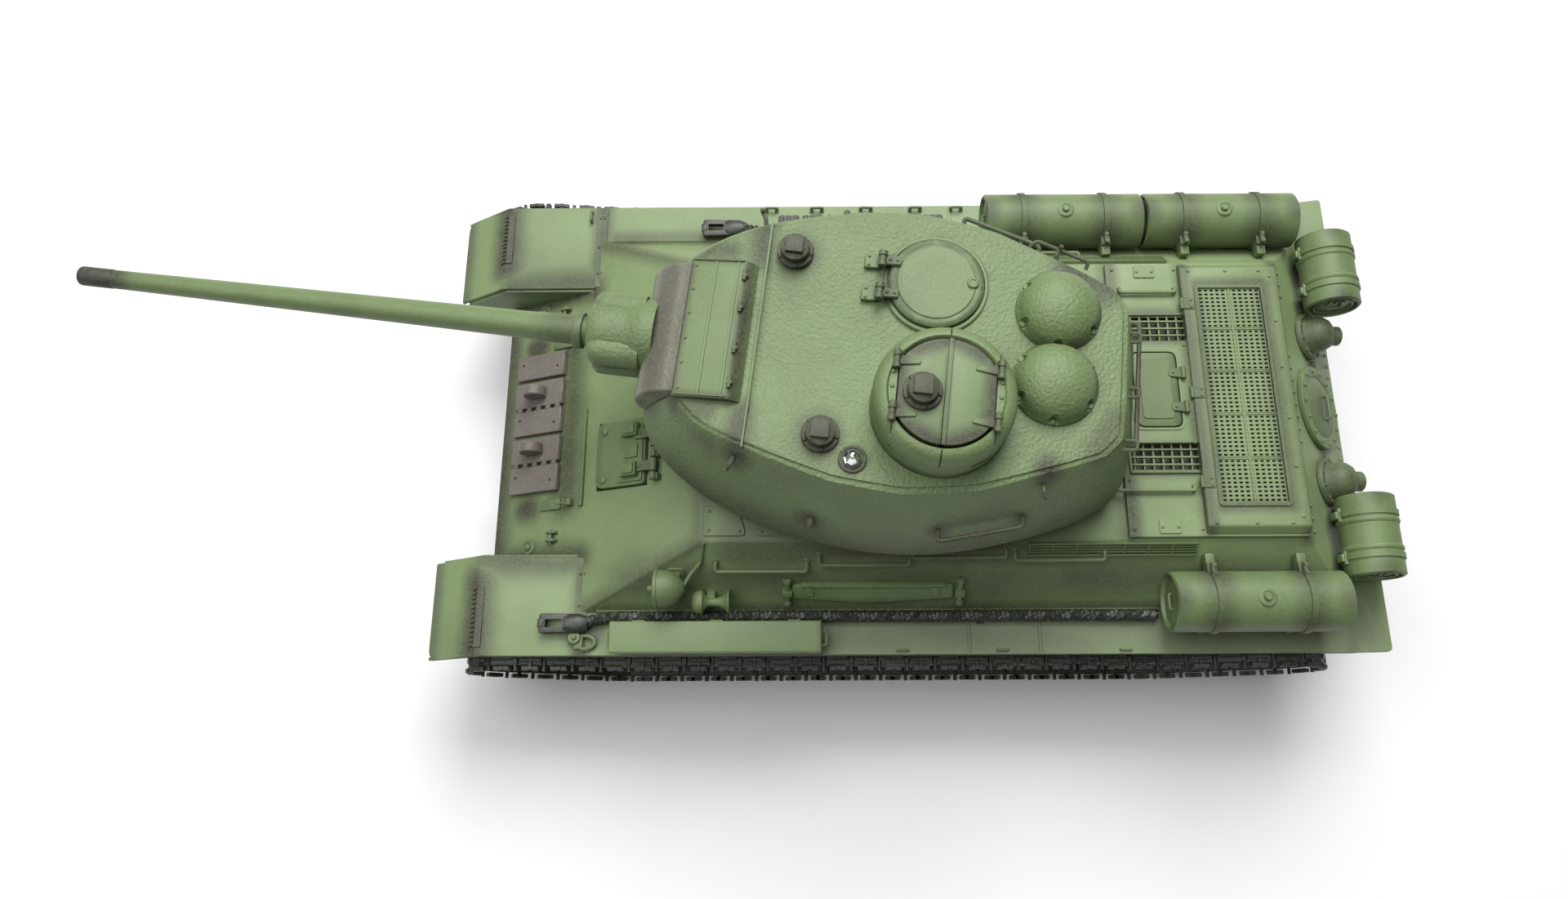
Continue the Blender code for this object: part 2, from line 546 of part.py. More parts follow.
for side, s in SIDES:
    y0, y1 = sorted((s * 11.0, s * 28.6))
    case = [(-92.0, 37.0), (-66.0, 37.0), (-66.0, 22.0), (-79.0, 22.0), (-92.0, 34.6)]
    gearbox = finish("gearbox_" + side, prism(case, "Y", y0, y1), "black")
    join(gearbox, rod((-66.0, (y0 + y1) / 2, 30.0), 6.0, -1, 14, "X", 14))
    cut(gearbox, rod((SPROCKET[0], 0, SPROCKET[1]), AXLE_R + RUN, min(s * 20, s * 30), max(s * 20, s * 30), "Y", 14))


def gear(count, r_in, r_out, phase, tooth_in, tooth_out):
    """Outline of straight-sided teeth between two radii."""
    pts = []
    for i in range(count):
        a = phase + 2 * math.pi * i / count
        for r, w in ((r_in, -tooth_in), (r_out, -tooth_out), (r_out, tooth_out), (r_in, tooth_in)):
            b = a + w / r
            pts.append((r * math.cos(b), r * math.sin(b)))
    return pts


PITCH_RING = MODULE * TEETH_RING / 2
PITCH_PINION = MODULE * TEETH_PINION / 2
RING_TOP = ROOF - WALL - GAP             # the ring's flange hangs just under the roof
ring = [(RING_R, 66.0), (RING_R, RING_TOP), (33.0, RING_TOP), (33.0, RING_TOP - 2.1), (27.3, RING_TOP - 2.1), (27.3, 66.0)]
turret_ring = finish("turret_ring", turned(ring, (TURRET_X, 0, 0), "Z", 32), "black")
phase = math.pi
space = gear(TEETH_RING, 26.8, PITCH_RING + 0.9, phase, 1.28, 0.56)
bm = prism(space, "Z", 55.0, 68.0)
bmesh.ops.translate(bm, vec=(TURRET_X, 0, 0), verts=bm.verts)
cut(turret_ring, bm)
PINION_X = TURRET_X - (PITCH_RING - PITCH_PINION)
teeth = gear(TEETH_PINION, PITCH_PINION - 0.95, PITCH_PINION + 0.65, math.pi, 0.86, 0.34)
bm = prism(teeth, "Z", 57.6, 65.0)
bmesh.ops.translate(bm, vec=(PINION_X, 0, 0), verts=bm.verts)
pinion = finish("turret_pinion", bm, "steel")
cut(pinion, rod((PINION_X, 0, 0), 1.1, 50, 64.0, steps=12))
origin(pinion, (PINION_X, 0, 60))
drive = finish("turret_drive", box(PINION_X - 8, PINION_X + 12, -8, 8, 45.0, 56.4), "black")
join(drive, rod((PINION_X, 0, 0), 1.0, 56, 63.6, steps=12))

# ---- turret casting ----
LOW = [(73, 9), (72, 17.5), (66, 27), (54, 35), (43, 40), (22, 44.5), (5, 45), (-12, 42.5), (-34, 34.5), (-47.5, 26),
       (-51, 16), (-51.8, 8)]
TOP = [(63, 9), (62.5, 16.5), (57, 23), (50, 26.2), (43, 29), (22, 34.6), (5, 35.8), (-12, 33), (-32, 24.6),
       (-40, 20.5), (-43.5, 13), (-44, 6)]


def roof_z(x):
    return TURRET_ROOF - max(0.0, x - 43.0) * 0.155


def outline(t, inset, zed):
    """Ring of points part way from the lower outline (t = 0) to the roof outline (t = 1)."""
    half = []
    for (xa, ya), (xb, yb) in zip(LOW, TOP):
        x, y = xa + (xb - xa) * t, ya + (yb - ya) * t
        length = math.hypot(x - 5, y)
        k = (length - inset) / length
        half.append((5 + (x - 5) * k, y * k))
    ring_pts = [(x, y) for x, y in half] + [(x, -y) for x, y in reversed(half)]
    return [(x, y, zed(x)) for x, y in ring_pts]


UNDER = 66.3             # underside of the overhang, clear of the deck and drums when the turret turns
body = loft([outline(0, 7.0, lambda x: UNDER), outline(0, 1.8, lambda x: UNDER + 1.4),
             outline(0, 0, lambda x: UNDER + 4.0), outline(0.5, -0.6, lambda x: 83.0),
             outline(0.92, 0, lambda x: roof_z(x) - 2.6), outline(1, 0.4, lambda x: roof_z(x) - 0.6)])
turret = finish("turret_shell", body, "green", TURRET)
lid_bm = loft([outline(1, 1.0, lambda x: roof_z(x) - 1.5), outline(1, 1.0, roof_z)])
join(turret, lid_bm, TURRET)
join(turret, rod((0, 0, 0), 35.5, ROOF + 0.6, UNDER + 1.2, steps=32), TURRET)
room = loft([outline(0, 9.5, lambda x: UNDER + 2.2), outline(0, 3.6, lambda x: UNDER + 5.0),
             outline(0.9, 3.6, lambda x: 93.0)])
cavity_cut = room
for v in cavity_cut.verts:
    v.co.x = min(v.co.x, 44.0)
cut(turret, cavity_cut, TURRET)
cut(turret, rod((0, 0, 0), RING_R + 0.6, 60, UNDER + 3.0, steps=30), TURRET)
cut(turret, box(46.3, 85.0, -17.0, 17.0, 68.6, 99.0), TURRET)
cut(turret, box(40.0, 50.0, -16.8, 16.8, 69.5, 92.0), TURRET)
plate_pts = [(44.4, 94.9), (61.6, 95.1), (61.6, 96.3), (44.4, 96.7)]
join(turret, prism(plate_pts, "Y", -19.0, 19.0), TURRET)
cut(turret, rod((TRUNNION[0], 0, TRUNNION[1]), 2.0 + RUN, -19.8, 19.8, "Y", 16), TURRET)
cut(turret, rod((CUPOLA[0], CUPOLA[1], 0), 12.6, 90, 99, steps=32), TURRET)
cut(turret, rod((LOADER[0], LOADER[1], 0), 10.3, 90, 99, steps=28), TURRET)
PERISCOPES = (("periscope_right", 36.2, -21.1, TURRET_ROOF), ("periscope_left", 25.1, 23.6, TURRET_ROOF))
for name, x, y, z in PERISCOPES:
    cut(turret, rod((x, y, 0), 2.3, 88, 99, steps=12), TURRET)
for x, y in ((14.8, -24.4), (14.8, -11.2)):
    join(turret, box(14.2, 17.0, y, y + 2.4, TURRET_ROOF - 0.5, TURRET_ROOF + 0.9), TURRET)

vents = finish("vent_domes", turned([(0, TURRET_ROOF + GAP), (10.2, TURRET_ROOF + GAP), (10.2, 97.6), (9.0, 100.0),
                                     (6.4, 101.9), (3.3, 102.9), (0, 103.2)], (-27.3, -13.2, 0), "Z", 20),
               "green", TURRET)
join(vents, turned([(0, TURRET_ROOF + GAP + 0.1), (10.1, TURRET_ROOF + GAP + 0.1), (10.1, 97.5), (8.9, 99.9),
                    (6.3, 101.8), (3.2, 102.8), (0, 103.1)], (-27.35, 5.2, 0), "Z", 22), TURRET)

# ---- gun: mantlet on its trunnions, barrel sliding in the sleeve ----
sector = arc(TRUNNION[0], TRUNNION[1], MANTLET_R, -78, 100, 14) + [(50.0, 86.0), (50.0, 77.0)]
mantlet = finish("mantlet", prism(sector, "Y", -16.6, 16.6), "brown", TURRET)
join(mantlet, turned([(0, 10.0), (9.3, 10.0), (9.2, 17.0), (8.2, 25.5), (7.0, 26.2), (0, 26.2)],
                     (TRUNNION[0], 0, GUN_Z), "X", 20), TURRET)
join(mantlet, rod((TRUNNION[0], 0, TRUNNION[1]), 2.0, -19.4, 19.4, "Y", 16), TURRET)
cut(mantlet, rod((0, 0, GUN_Z), 3.9, 40.0, 90.0, "X", 20), TURRET)
origin(mantlet, (TRUNNION[0], 0, TRUNNION[1]), TURRET)
bore = [(0, 52.0), (3.55, 52.0), (3.6, 98.0), (2.25, MUZZLE - 8.0), (2.3, MUZZLE - 7.6), (2.3, MUZZLE - 0.4),
        (2.0, MUZZLE), (1.3, MUZZLE), (1.3, MUZZLE - 14.0), (0, MUZZLE - 14.0)]
barrel = finish("barrel", turned(bore, (0, 0, GUN_Z), "X", 20), "green", TURRET)
origin(barrel, (90.0, 0, GUN_Z), TURRET)

# ---- cupola with two flaps, loader's hatch, periscopes, reflector ----
cx, cy, cr, ct = CUPOLA
wall = [(cr, TURRET_ROOF + GAP), (cr, 104.0), (cr - 0.6, 106.6), (cr - 2.2, 108.4), (cr - 2.4, ct), (0.0, ct),
        (0.0, ct - 2.3), (12.6, ct - 2.3), (12.6, TURRET_ROOF + GAP)]
cupola = finish("cupola", turned(wall, (cx, cy, 0), "Z", 28), "green", TURRET)
opening = []
for a in range(0, 360, 15):
    opening.append((cx + max(-11.0, min(11.0, 12.8 * math.cos(math.radians(a)))), cy + 12.8 * math.sin(math.radians(a))))
cut(cupola, prism(opening, "Z", ct - 5, ct + 5), TURRET)
for name, s in (("cupola_hatch_front", 1.0), ("cupola_hatch_rear", -1.0)):
    half = [(0.25, -12.15), (0.25, 12.15)]
    for k in range(11):
        a = math.radians(84 - 168 * k / 10)
        half.append((min(10.6, 12.2 * math.cos(a)), 12.2 * math.sin(a)))
    half = [(cx + s * x, cy + y) for x, y in half]
    flap = finish(name, prism(half, "Z", ct - 2.0, ct + 0.2), "green", TURRET)
    for y in (-7.4, 4.8):
        arm = hinge_arm(cx + s * 11.5, ct + 1.3, 0.95, cx + s * 8.6, ct - 0.6, cy + y, cy + y + 2.8)
        join(flap, arm, TURRET)
    if s > 0:
        cut(flap, rod((cx + 5.3, cy + 0.8, 0), 2.3, ct - 5, ct + 5, steps=12), TURRET)
    origin(flap, (cx + s * 11.5, cy, ct + 1.3), TURRET)

lx, ly, lr = LOADER
loader = finish("loader_hatch", turned([(0, 96.7), (lr, 96.7), (lr, 97.7), (lr - 0.9, 98.2), (0, 98.2)], (lx, ly, 0),
                                       "Z", 28), "green", TURRET)
hx = lx + lr + 1.9
for y in (-22.2, -13.8):
    join(loader, hinge_arm(hx, 99.0, 1.1, lx + 8.6, 97.6, y, y + 3.0), TURRET)
origin(loader, (hx, ly, 99.0), TURRET)


def periscope(name, x, y, z):
    prof = [(0, z - 3.0), (2.1, z - 3.0), (2.1, z + GAP), (4.4, z + GAP), (4.4, z + 1.3), (3.5, z + 1.6),
            (3.5, z + 3.2), (3.0, z + 3.7), (0, z + 3.7)]
    ob = finish(name, turned(prof, (x, y, 0), "Z", 18), "shade", TURRET)
    join(ob, box(x - 1.0, x + 2.4, y - 2.0, y + 2.0, z + 3.4, z + 4.8), TURRET)
    origin(ob, (x, y, z), TURRET)


for name, x, y, z in PERISCOPES:
    periscope(name, x, y, z)
periscope("periscope_cupola", cx + 5.3, cy + 0.8, ct + 0.2)
z = TURRET_ROOF + GAP
finish("reflector", turned([(0, z), (2.6, z), (2.6, z + 1.0), (1.9, z + 1.3), (0.6, z + 3.6), (0, z + 3.8)],
                           (17.2, 28.6, 0), "Z", 18), "chrome", TURRET)
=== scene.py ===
import bpy
import bmesh
import math
from mathutils import Matrix, Vector


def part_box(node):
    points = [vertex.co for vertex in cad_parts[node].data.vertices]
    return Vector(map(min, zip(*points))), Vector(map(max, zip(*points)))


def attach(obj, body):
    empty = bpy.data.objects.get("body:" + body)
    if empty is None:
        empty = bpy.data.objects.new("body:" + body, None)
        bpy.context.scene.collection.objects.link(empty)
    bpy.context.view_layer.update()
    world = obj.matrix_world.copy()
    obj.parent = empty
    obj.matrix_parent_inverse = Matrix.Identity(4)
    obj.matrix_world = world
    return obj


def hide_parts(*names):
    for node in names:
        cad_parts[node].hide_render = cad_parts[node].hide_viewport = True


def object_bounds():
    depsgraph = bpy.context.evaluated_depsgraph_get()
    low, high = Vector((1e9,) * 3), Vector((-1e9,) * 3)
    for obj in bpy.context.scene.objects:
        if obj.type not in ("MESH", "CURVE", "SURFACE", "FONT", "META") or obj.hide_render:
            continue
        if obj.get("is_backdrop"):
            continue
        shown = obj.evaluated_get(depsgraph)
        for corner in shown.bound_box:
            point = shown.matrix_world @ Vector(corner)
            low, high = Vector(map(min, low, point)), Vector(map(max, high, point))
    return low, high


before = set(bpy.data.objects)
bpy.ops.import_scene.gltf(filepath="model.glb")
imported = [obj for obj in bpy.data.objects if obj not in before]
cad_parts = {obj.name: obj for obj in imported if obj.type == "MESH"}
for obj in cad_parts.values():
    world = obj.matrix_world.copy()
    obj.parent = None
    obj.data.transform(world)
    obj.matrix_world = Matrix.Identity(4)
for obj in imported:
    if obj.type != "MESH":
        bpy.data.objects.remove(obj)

cad_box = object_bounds()
for name in ("Cube", "Camera", "Light"):
    if name in bpy.data.objects:
        bpy.data.objects.remove(bpy.data.objects[name], do_unlink=True)

# ---- Camera, floor and light ----
# The model stands on a pale studio sweep and is seen from above and a little to its left, under
# a broad light over its front and a smaller one from its right.
MM = 0.001
ring_low, ring_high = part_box("turret_ring")
turret_axis = (ring_low.x + ring_high.x) / 2
HULL = Matrix.Translation((turret_axis - 13.7 * MM, 0, 0)) @ Matrix.Scale(MM, 4)
TURRET = (Matrix.Translation((turret_axis, 0, 0))
          @ Matrix.Rotation(math.radians(-7.0), 4, "Z")
          @ Matrix.Scale(MM, 4))

camera = bpy.data.objects.new("camera", bpy.data.cameras.new("camera"))
camera.data.lens = 25.39
camera.data.sensor_width = 36.0
camera.data.shift_x = -0.0134
camera.data.shift_y = -0.0236
camera.data.clip_start = 0.01
camera.data.clip_end = 20.0
camera.location = HULL @ Vector((44.45, 92.2, 338.2))
camera.rotation_euler = (math.radians(17.686), math.radians(0.188), math.radians(179.759))
bpy.context.scene.collection.objects.link(camera)
bpy.context.scene.camera = camera

floor_bm = bmesh.new()
bmesh.ops.create_grid(floor_bm, x_segments=1, y_segments=1, size=3.0)
floor_mesh = bpy.data.meshes.new("studio_floor")
floor_bm.to_mesh(floor_mesh)
floor_bm.free()
floor = bpy.data.objects.new("studio_floor", floor_mesh)
floor.location.z = -0.0001
bpy.context.scene.collection.objects.link(floor)
floor_paint = bpy.data.materials.new("studio_floor")
floor_paint.use_nodes = True
floor_shader = floor_paint.node_tree.nodes["Principled BSDF"]
floor_shader.inputs["Base Color"].default_value = (0.78, 0.78, 0.78, 1.0)
floor_shader.inputs["Roughness"].default_value = 0.9
floor_mesh.materials.append(floor_paint)
floor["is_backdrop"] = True

world = bpy.data.worlds.new("studio")
world.use_nodes = True
world.node_tree.nodes["Background"].inputs["Color"].default_value = (0.94, 0.97, 1.0, 1.0)
world.node_tree.nodes["Background"].inputs["Strength"].default_value = 0.06
bpy.context.scene.world = world
bpy.context.scene.view_settings.view_transform = "Standard"
for name, spot, size, watts in (("key_light", (-0.15, -0.75, 1.05), 0.7, 17.0),
                                ("top_light", (0.45, -0.1, 1.4), 1.3, 19.0)):
    lamp = bpy.data.lights.new(name, "AREA")
    lamp.size = size
    lamp.energy = watts
    light = bpy.data.objects.new(name, lamp)
    light.location = spot
    light.rotation_euler = (-Vector(spot)).to_track_quat("-Z", "Y").to_euler()
    bpy.context.scene.collection.objects.link(light)

# ---- Green paint ----
# Satin military green sprayed over moulded plastic, with a finer grey-brown airbrush mist along
# seams and round fittings; the turret's casting has a leathery grain under the same paint.
# The darker mist colour is laid along listed lines: airbrush mist on seams and fittings, and painted shade on
# the left flanks of hull and turret, the left fender and under the stowage lid.
GREEN = (0.138, 0.196, 0.078, 1.0)
MIST_AND_SHADE = (0.036, 0.032, 0.021, 1.0)


def group_sockets(group, ins, outs):
    """Named inputs and outputs of a shader node group, with its two end nodes."""
    for label, kind, start in ins:
        socket = group.interface.new_socket(label, in_out="INPUT", socket_type=kind)
        if start is not None:
            socket.default_value = start
    for label, kind in outs:
        group.interface.new_socket(label, in_out="OUTPUT", socket_type=kind)
    return group.nodes.new("NodeGroupInput"), group.nodes.new("NodeGroupOutput")


def maths(tree, how, *values):
    node = tree.nodes.new("ShaderNodeMath")
    node.operation = how
    for i, value in enumerate(values):
        if hasattr(value, "is_output"):
            tree.links.new(value, node.inputs[i])
        else:
            node.inputs[i].default_value = value
    return node.outputs[0]


def vector(tree, how, a, b=None):
    node = tree.nodes.new("ShaderNodeVectorMath")
    node.operation = how
    for i, value in enumerate((a, b)):
        if hasattr(value, "is_output"):
            tree.links.new(value, node.inputs[i])
        elif value is not None:
            node.inputs[i].default_value = value
    return node.outputs["Value" if how in ("LENGTH", "DOT_PRODUCT") else "Vector"]


def noise(tree, where, scale, detail=2.0, rough=0.5):
    node = tree.nodes.new("ShaderNodeTexNoise")
    node.inputs["Scale"].default_value = scale
    node.inputs["Detail"].default_value = detail
    node.inputs["Roughness"].default_value = rough
    tree.links.new(where, node.inputs["Vector"])
    return node.outputs["Fac"]


def spread(tree, value, low, high, to_low=0.0, to_high=1.0, smooth=False):
    node = tree.nodes.new("ShaderNodeMapRange")
    node.interpolation_type = "SMOOTHSTEP" if smooth else "LINEAR"
    for label, x in (("Value", value), ("From Min", low), ("From Max", high), ("To Min", to_low),
                     ("To Max", to_high)):
        if hasattr(x, "is_output"):
            tree.links.new(x, node.inputs[label])
        else:
            node.inputs[label].default_value = x
    return node.outputs["Result"]


def mix(tree, share, a, b):
    node = tree.nodes.new("ShaderNodeMix")
    node.data_type = "RGBA"
    for label, x in ((0, share), (6, a), (7, b)):
        if hasattr(x, "is_output"):
            tree.links.new(x, node.inputs[label])
        else:
            node.inputs[label].default_value = x
    return node.outputs[2]


# Mask falling off from a line, used for airbrush mist and for painted shade.
mist_and_shade_group = bpy.data.node_groups.new("mist_and_shade_line", "ShaderNodeTree")
ends = group_sockets(mist_and_shade_group, (("Where", "NodeSocketVector", None), ("Start", "NodeSocketVector", None),
                             ("End", "NodeSocketVector", None), ("Reach", "NodeSocketFloat", 0.006),
                             ("Weight", "NodeSocketFloat", 0.8), ("So Far", "NodeSocketFloat", 0.0)),
                     (("Mask", "NodeSocketFloat"),))
inp = ends[0].outputs
run = vector(mist_and_shade_group, "SUBTRACT", inp["End"], inp["Start"])
off = vector(mist_and_shade_group, "SUBTRACT", inp["Where"], inp["Start"])
length2 = maths(mist_and_shade_group, "MAXIMUM", vector(mist_and_shade_group, "DOT_PRODUCT", run, run), 1e-9)
along = maths(mist_and_shade_group, "DIVIDE", vector(mist_and_shade_group, "DOT_PRODUCT", off, run), length2)
along = maths(mist_and_shade_group, "MINIMUM", maths(mist_and_shade_group, "MAXIMUM", along, 0.0), 1.0)
reach_node = mist_and_shade_group.nodes.new("ShaderNodeVectorMath")
reach_node.operation = "SCALE"
mist_and_shade_group.links.new(run, reach_node.inputs[0])
mist_and_shade_group.links.new(along, reach_node.inputs["Scale"])
away = vector(mist_and_shade_group, "LENGTH", vector(mist_and_shade_group, "SUBTRACT", off, reach_node.outputs["Vector"]))
fall = spread(mist_and_shade_group, away, 0.0, inp["Reach"], 1.0, 0.0, True)
mist_and_shade_group.links.new(maths(mist_and_shade_group, "MAXIMUM", maths(mist_and_shade_group, "MULTIPLY", fall, inp["Weight"]), inp["So Far"]),
                ends[1].inputs["Mask"])

coat = bpy.data.node_groups.new("sprayed_coat", "ShaderNodeTree")
ends = group_sockets(coat, (("Where", "NodeSocketVector", None), ("Paint", "NodeSocketColor", GREEN),
                            ("Mist", "NodeSocketColor", MIST_AND_SHADE), ("Mask", "NodeSocketFloat", 0.0),
                            ("Casting", "NodeSocketFloat", 0.0), ("Gloss", "NodeSocketFloat", 0.0)),
                     (("Color", "NodeSocketColor"), ("Roughness", "NodeSocketFloat"),
                      ("Height", "NodeSocketFloat")))
inp = ends[0].outputs
cloud = noise(coat, inp["Where"], 55.0, 3.0)
speck = noise(coat, inp["Where"], 2600.0, 2.0, 0.6)
droplet = noise(coat, inp["Where"], 900.0, 3.0, 0.6)
leather = noise(coat, inp["Where"], 1150.0, 2.0, 0.5)
mask = maths(coat, "ADD", maths(coat, "MULTIPLY", inp["Mask"], 1.25),
             spread(coat, cloud, 0.38, 0.75, -0.06, 0.2))
grainy = maths(coat, "MULTIPLY", mask, spread(coat, speck, 0.3, 0.7, 0.72, 1.28))
grainy = maths(coat, "MINIMUM", maths(coat, "MAXIMUM", grainy, 0.0), 1.0)
body = mix(coat, grainy, inp["Paint"], inp["Mist"])
light_spot = mix(coat, spread(coat, droplet, 0.4, 0.75, 0.0, 0.13), body, (0.28, 0.36, 0.19, 1.0))
dark_spot = mix(coat, spread(coat, speck, 0.62, 0.3, 0.0, 0.16), light_spot, (0.035, 0.045, 0.024, 1.0))
coat.links.new(dark_spot, ends[1].inputs["Color"])
rough = maths(coat, "ADD", spread(coat, droplet, 0.3, 0.7, 0.47, 0.58), maths(coat, "MULTIPLY", mask, 0.08))
coat.links.new(maths(coat, "SUBTRACT", rough, inp["Gloss"]), ends[1].inputs["Roughness"])
cast = maths(coat, "MULTIPLY", spread(coat, leather, 0.3, 0.7, 0.0, 1.0), inp["Casting"])
coat.links.new(maths(coat, "ADD", cast, maths(coat, "MULTIPLY", speck, 0.22)), ends[1].inputs["Height"])


def painted(name, lines=(), at=HULL, paint=GREEN, mist=MIST_AND_SHADE, casting=0.0, base=0.0, gloss=0.0, metal=0.0):
    """Sprayed finish; lines are (start, end, reach, weight) of the darker mist colour, in millimetres:
    airbrush mist, and on some pieces painted shade.
    """
    material = bpy.data.materials.new(name)
    material.use_nodes = True
    tree = material.node_tree
    shader = tree.nodes["Principled BSDF"]
    where = tree.nodes.new("ShaderNodeTexCoord").outputs["Object"]
    sofar = None
    for start, end, reach, weight in lines:
        node = tree.nodes.new("ShaderNodeGroup")
        node.node_tree = mist_and_shade_group
        tree.links.new(where, node.inputs["Where"])
        node.inputs["Start"].default_value = at @ Vector(start)
        node.inputs["End"].default_value = at @ Vector(end)
        node.inputs["Reach"].default_value = reach * MM
        node.inputs["Weight"].default_value = weight
        if sofar:
            tree.links.new(sofar, node.inputs["So Far"])
        else:
            node.inputs["So Far"].default_value = base
        sofar = node.outputs["Mask"]
    node = tree.nodes.new("ShaderNodeGroup")
    node.node_tree = coat
    tree.links.new(where, node.inputs["Where"])
    if sofar:
        tree.links.new(sofar, node.inputs["Mask"])
    else:
        node.inputs["Mask"].default_value = base
    node.inputs["Paint"].default_value = paint
    node.inputs["Mist"].default_value = mist
    node.inputs["Casting"].default_value = casting
    node.inputs["Gloss"].default_value = gloss
    bump = tree.nodes.new("ShaderNodeBump")
    bump.inputs["Strength"].default_value = 0.55
    bump.inputs["Distance"].default_value = 0.00024
    tree.links.new(node.outputs["Color"], shader.inputs["Base Color"])
    tree.links.new(node.outputs["Roughness"], shader.inputs["Roughness"])
    tree.links.new(node.outputs["Height"], bump.inputs["Height"])
    tree.links.new(bump.outputs["Normal"], shader.inputs["Normal"])
    shader.inputs["Metallic"].default_value = metal
    return material


# ---- Upper hull ----
# One moulded shell of sloped plates: glacis, roof, side and rear plates, with the openings for
# the turret ring, the engine deck and the driver's hatch cut through its two-millimetre wall.
ROOF, FENDER, NOSE_X, NOSE_Z, GLACIS_TOP = 61.4, 45.5, 132.1, 32.2, 71.9
GLACIS = math.atan2(ROOF - NOSE_Z, NOSE_X - GLACIS_TOP)
REAR = -math.atan(0.988)


def glacis(x):
    return NOSE_Z + (NOSE_X - x) * math.tan(GLACIS)


def rear(x):
    return ROOF + (x + 83.0) * 0.988


def add(bm, part, move=None):
    """Adds one shape to another, moved by a matrix first."""
    if move:
        bmesh.ops.transform(part, matrix=move, verts=part.verts)
    holder = bpy.data.meshes.new("holder")
    part.to_mesh(holder)
    part.free()
    bm.from_mesh(holder)
    bpy.data.meshes.remove(holder)
    return bm


def soften(bm, radius, steps=2, angle=25.0):
    """Rounds every edge sharper than the angle."""
    edges = [e for e in bm.edges if len(e.link_faces) == 2 and e.calc_face_angle(0.0) > math.radians(angle)]
    if radius and edges:
        bmesh.ops.bevel(bm, geom=edges, offset=radius, segments=steps, profile=0.5, affect="EDGES",
                        material=-1, clamp_overlap=True)
    return bm


def hull_of(points, radius=0.0, steps=2):
    bm = bmesh.new()
    for p in points:
        bm.verts.new(p)
    bmesh.ops.convex_hull(bm, input=bm.verts)
    bmesh.ops.dissolve_limit(bm, angle_limit=0.01, verts=bm.verts, edges=bm.edges)
    return soften(bm, radius, steps)


def block(x0, x1, y0, y1, z0, z1, radius=0.25, steps=2):
    bm = bmesh.new()
    bmesh.ops.create_cube(bm, size=1.0)
    bmesh.ops.scale(bm, vec=(x1 - x0, y1 - y0, z1 - z0), verts=bm.verts)
    bmesh.ops.translate(bm, vec=((x0 + x1) / 2, (y0 + y1) / 2, (z0 + z1) / 2), verts=bm.verts)
    return soften(bm, radius, steps)


def slab(points, axis, low, high, radius=0.25, steps=2):
    """Flat outline given thickness: Y takes (x, z) points, X takes (y, z), Z takes (x, y)."""
    place = {"X": lambda p: (low, p[0], p[1]), "Y": lambda p: (p[0], low, p[1]),
             "Z": lambda p: (p[0], p[1], low)}
    bm = bmesh.new()
    face = bm.faces.new([bm.verts.new(place[axis](p)) for p in points])
    grown = bmesh.ops.extrude_face_region(bm, geom=[face], use_keep_orig=True)["geom"]
    step = {"X": (high - low, 0, 0), "Y": (0, high - low, 0), "Z": (0, 0, high - low)}[axis]
    bmesh.ops.translate(bm, vec=step, verts=[v for v in grown if isinstance(v, bmesh.types.BMVert)])
    bmesh.ops.recalc_face_normals(bm, faces=bm.faces)
    return soften(bm, radius, steps)


def turned(profile, centre=(0, 0, 0), axis="Z", steps=24):
    """Profile of (radius, height) pairs spun about an axis through the centre."""
    bm = bmesh.new()
    verts = [bm.verts.new((r, 0, h)) for r, h in profile]
    edges = [bm.edges.new(pair) for pair in zip(verts, verts[1:])]
    bmesh.ops.spin(bm, geom=verts + edges, cent=(0, 0, 0), axis=(0, 0, 1), angle=math.tau, steps=steps,
                   use_merge=True)
    bmesh.ops.remove_doubles(bm, verts=bm.verts, dist=0.0005)
    bmesh.ops.recalc_face_normals(bm, faces=bm.faces)
    turn = {"Z": Matrix.Identity(4), "Y": Matrix.Rotation(-math.pi / 2, 4, "X"),
            "X": Matrix.Rotation(math.pi / 2, 4, "Y")}[axis]
    bmesh.ops.transform(bm, matrix=Matrix.Translation(centre) @ turn, verts=bm.verts)
    return bm


def carve(bm, tools, how="DIFFERENCE"):
    """Cuts the tool shapes out of a shape, or joins them on."""
    names = []
    for i, shape in enumerate([bm] + tools):
        mesh = bpy.data.meshes.new("carve" + str(i))
        bmesh.ops.recalc_face_normals(shape, faces=shape.faces)
        shape.to_mesh(mesh)
        shape.free()
        ob = bpy.data.objects.new(mesh.name, mesh)
        bpy.context.scene.collection.objects.link(ob)
        names.append(ob)
    for tool in names[1:]:
        mod = names[0].modifiers.new(tool.name, "BOOLEAN")
        mod.operation, mod.solver, mod.object = how, "EXACT", tool
    view = bpy.context.evaluated_depsgraph_get()
    out = bmesh.new()
    done = bpy.data.meshes.new_from_object(names[0].evaluated_get(view))
    out.from_mesh(done)
    bpy.data.meshes.remove(done)
    for ob in names:
        mesh = ob.data
        bpy.data.objects.remove(ob)
        bpy.data.meshes.remove(mesh)
    return out


def piece(name, bm, body, material, at=HULL, replaces=(), sharp=38.0):
    """Shape in millimetres to a finished piece in the row frame, riding on its body."""
    bmesh.ops.transform(bm, matrix=at, verts=bm.verts)
    for face in bm.faces:
        face.smooth = True
    for edge in bm.edges:
        edge.smooth = edge.calc_face_angle(0.0) < math.radians(sharp)
    mesh = bpy.data.meshes.new(name)
    bm.to_mesh(mesh)
    bm.free()
    mesh.materials.append(material)
    ob = bpy.data.objects.new(name, mesh)
    bpy.context.scene.collection.objects.link(ob)
    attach(ob, body)
    if replaces:
        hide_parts(*replaces)
    return ob


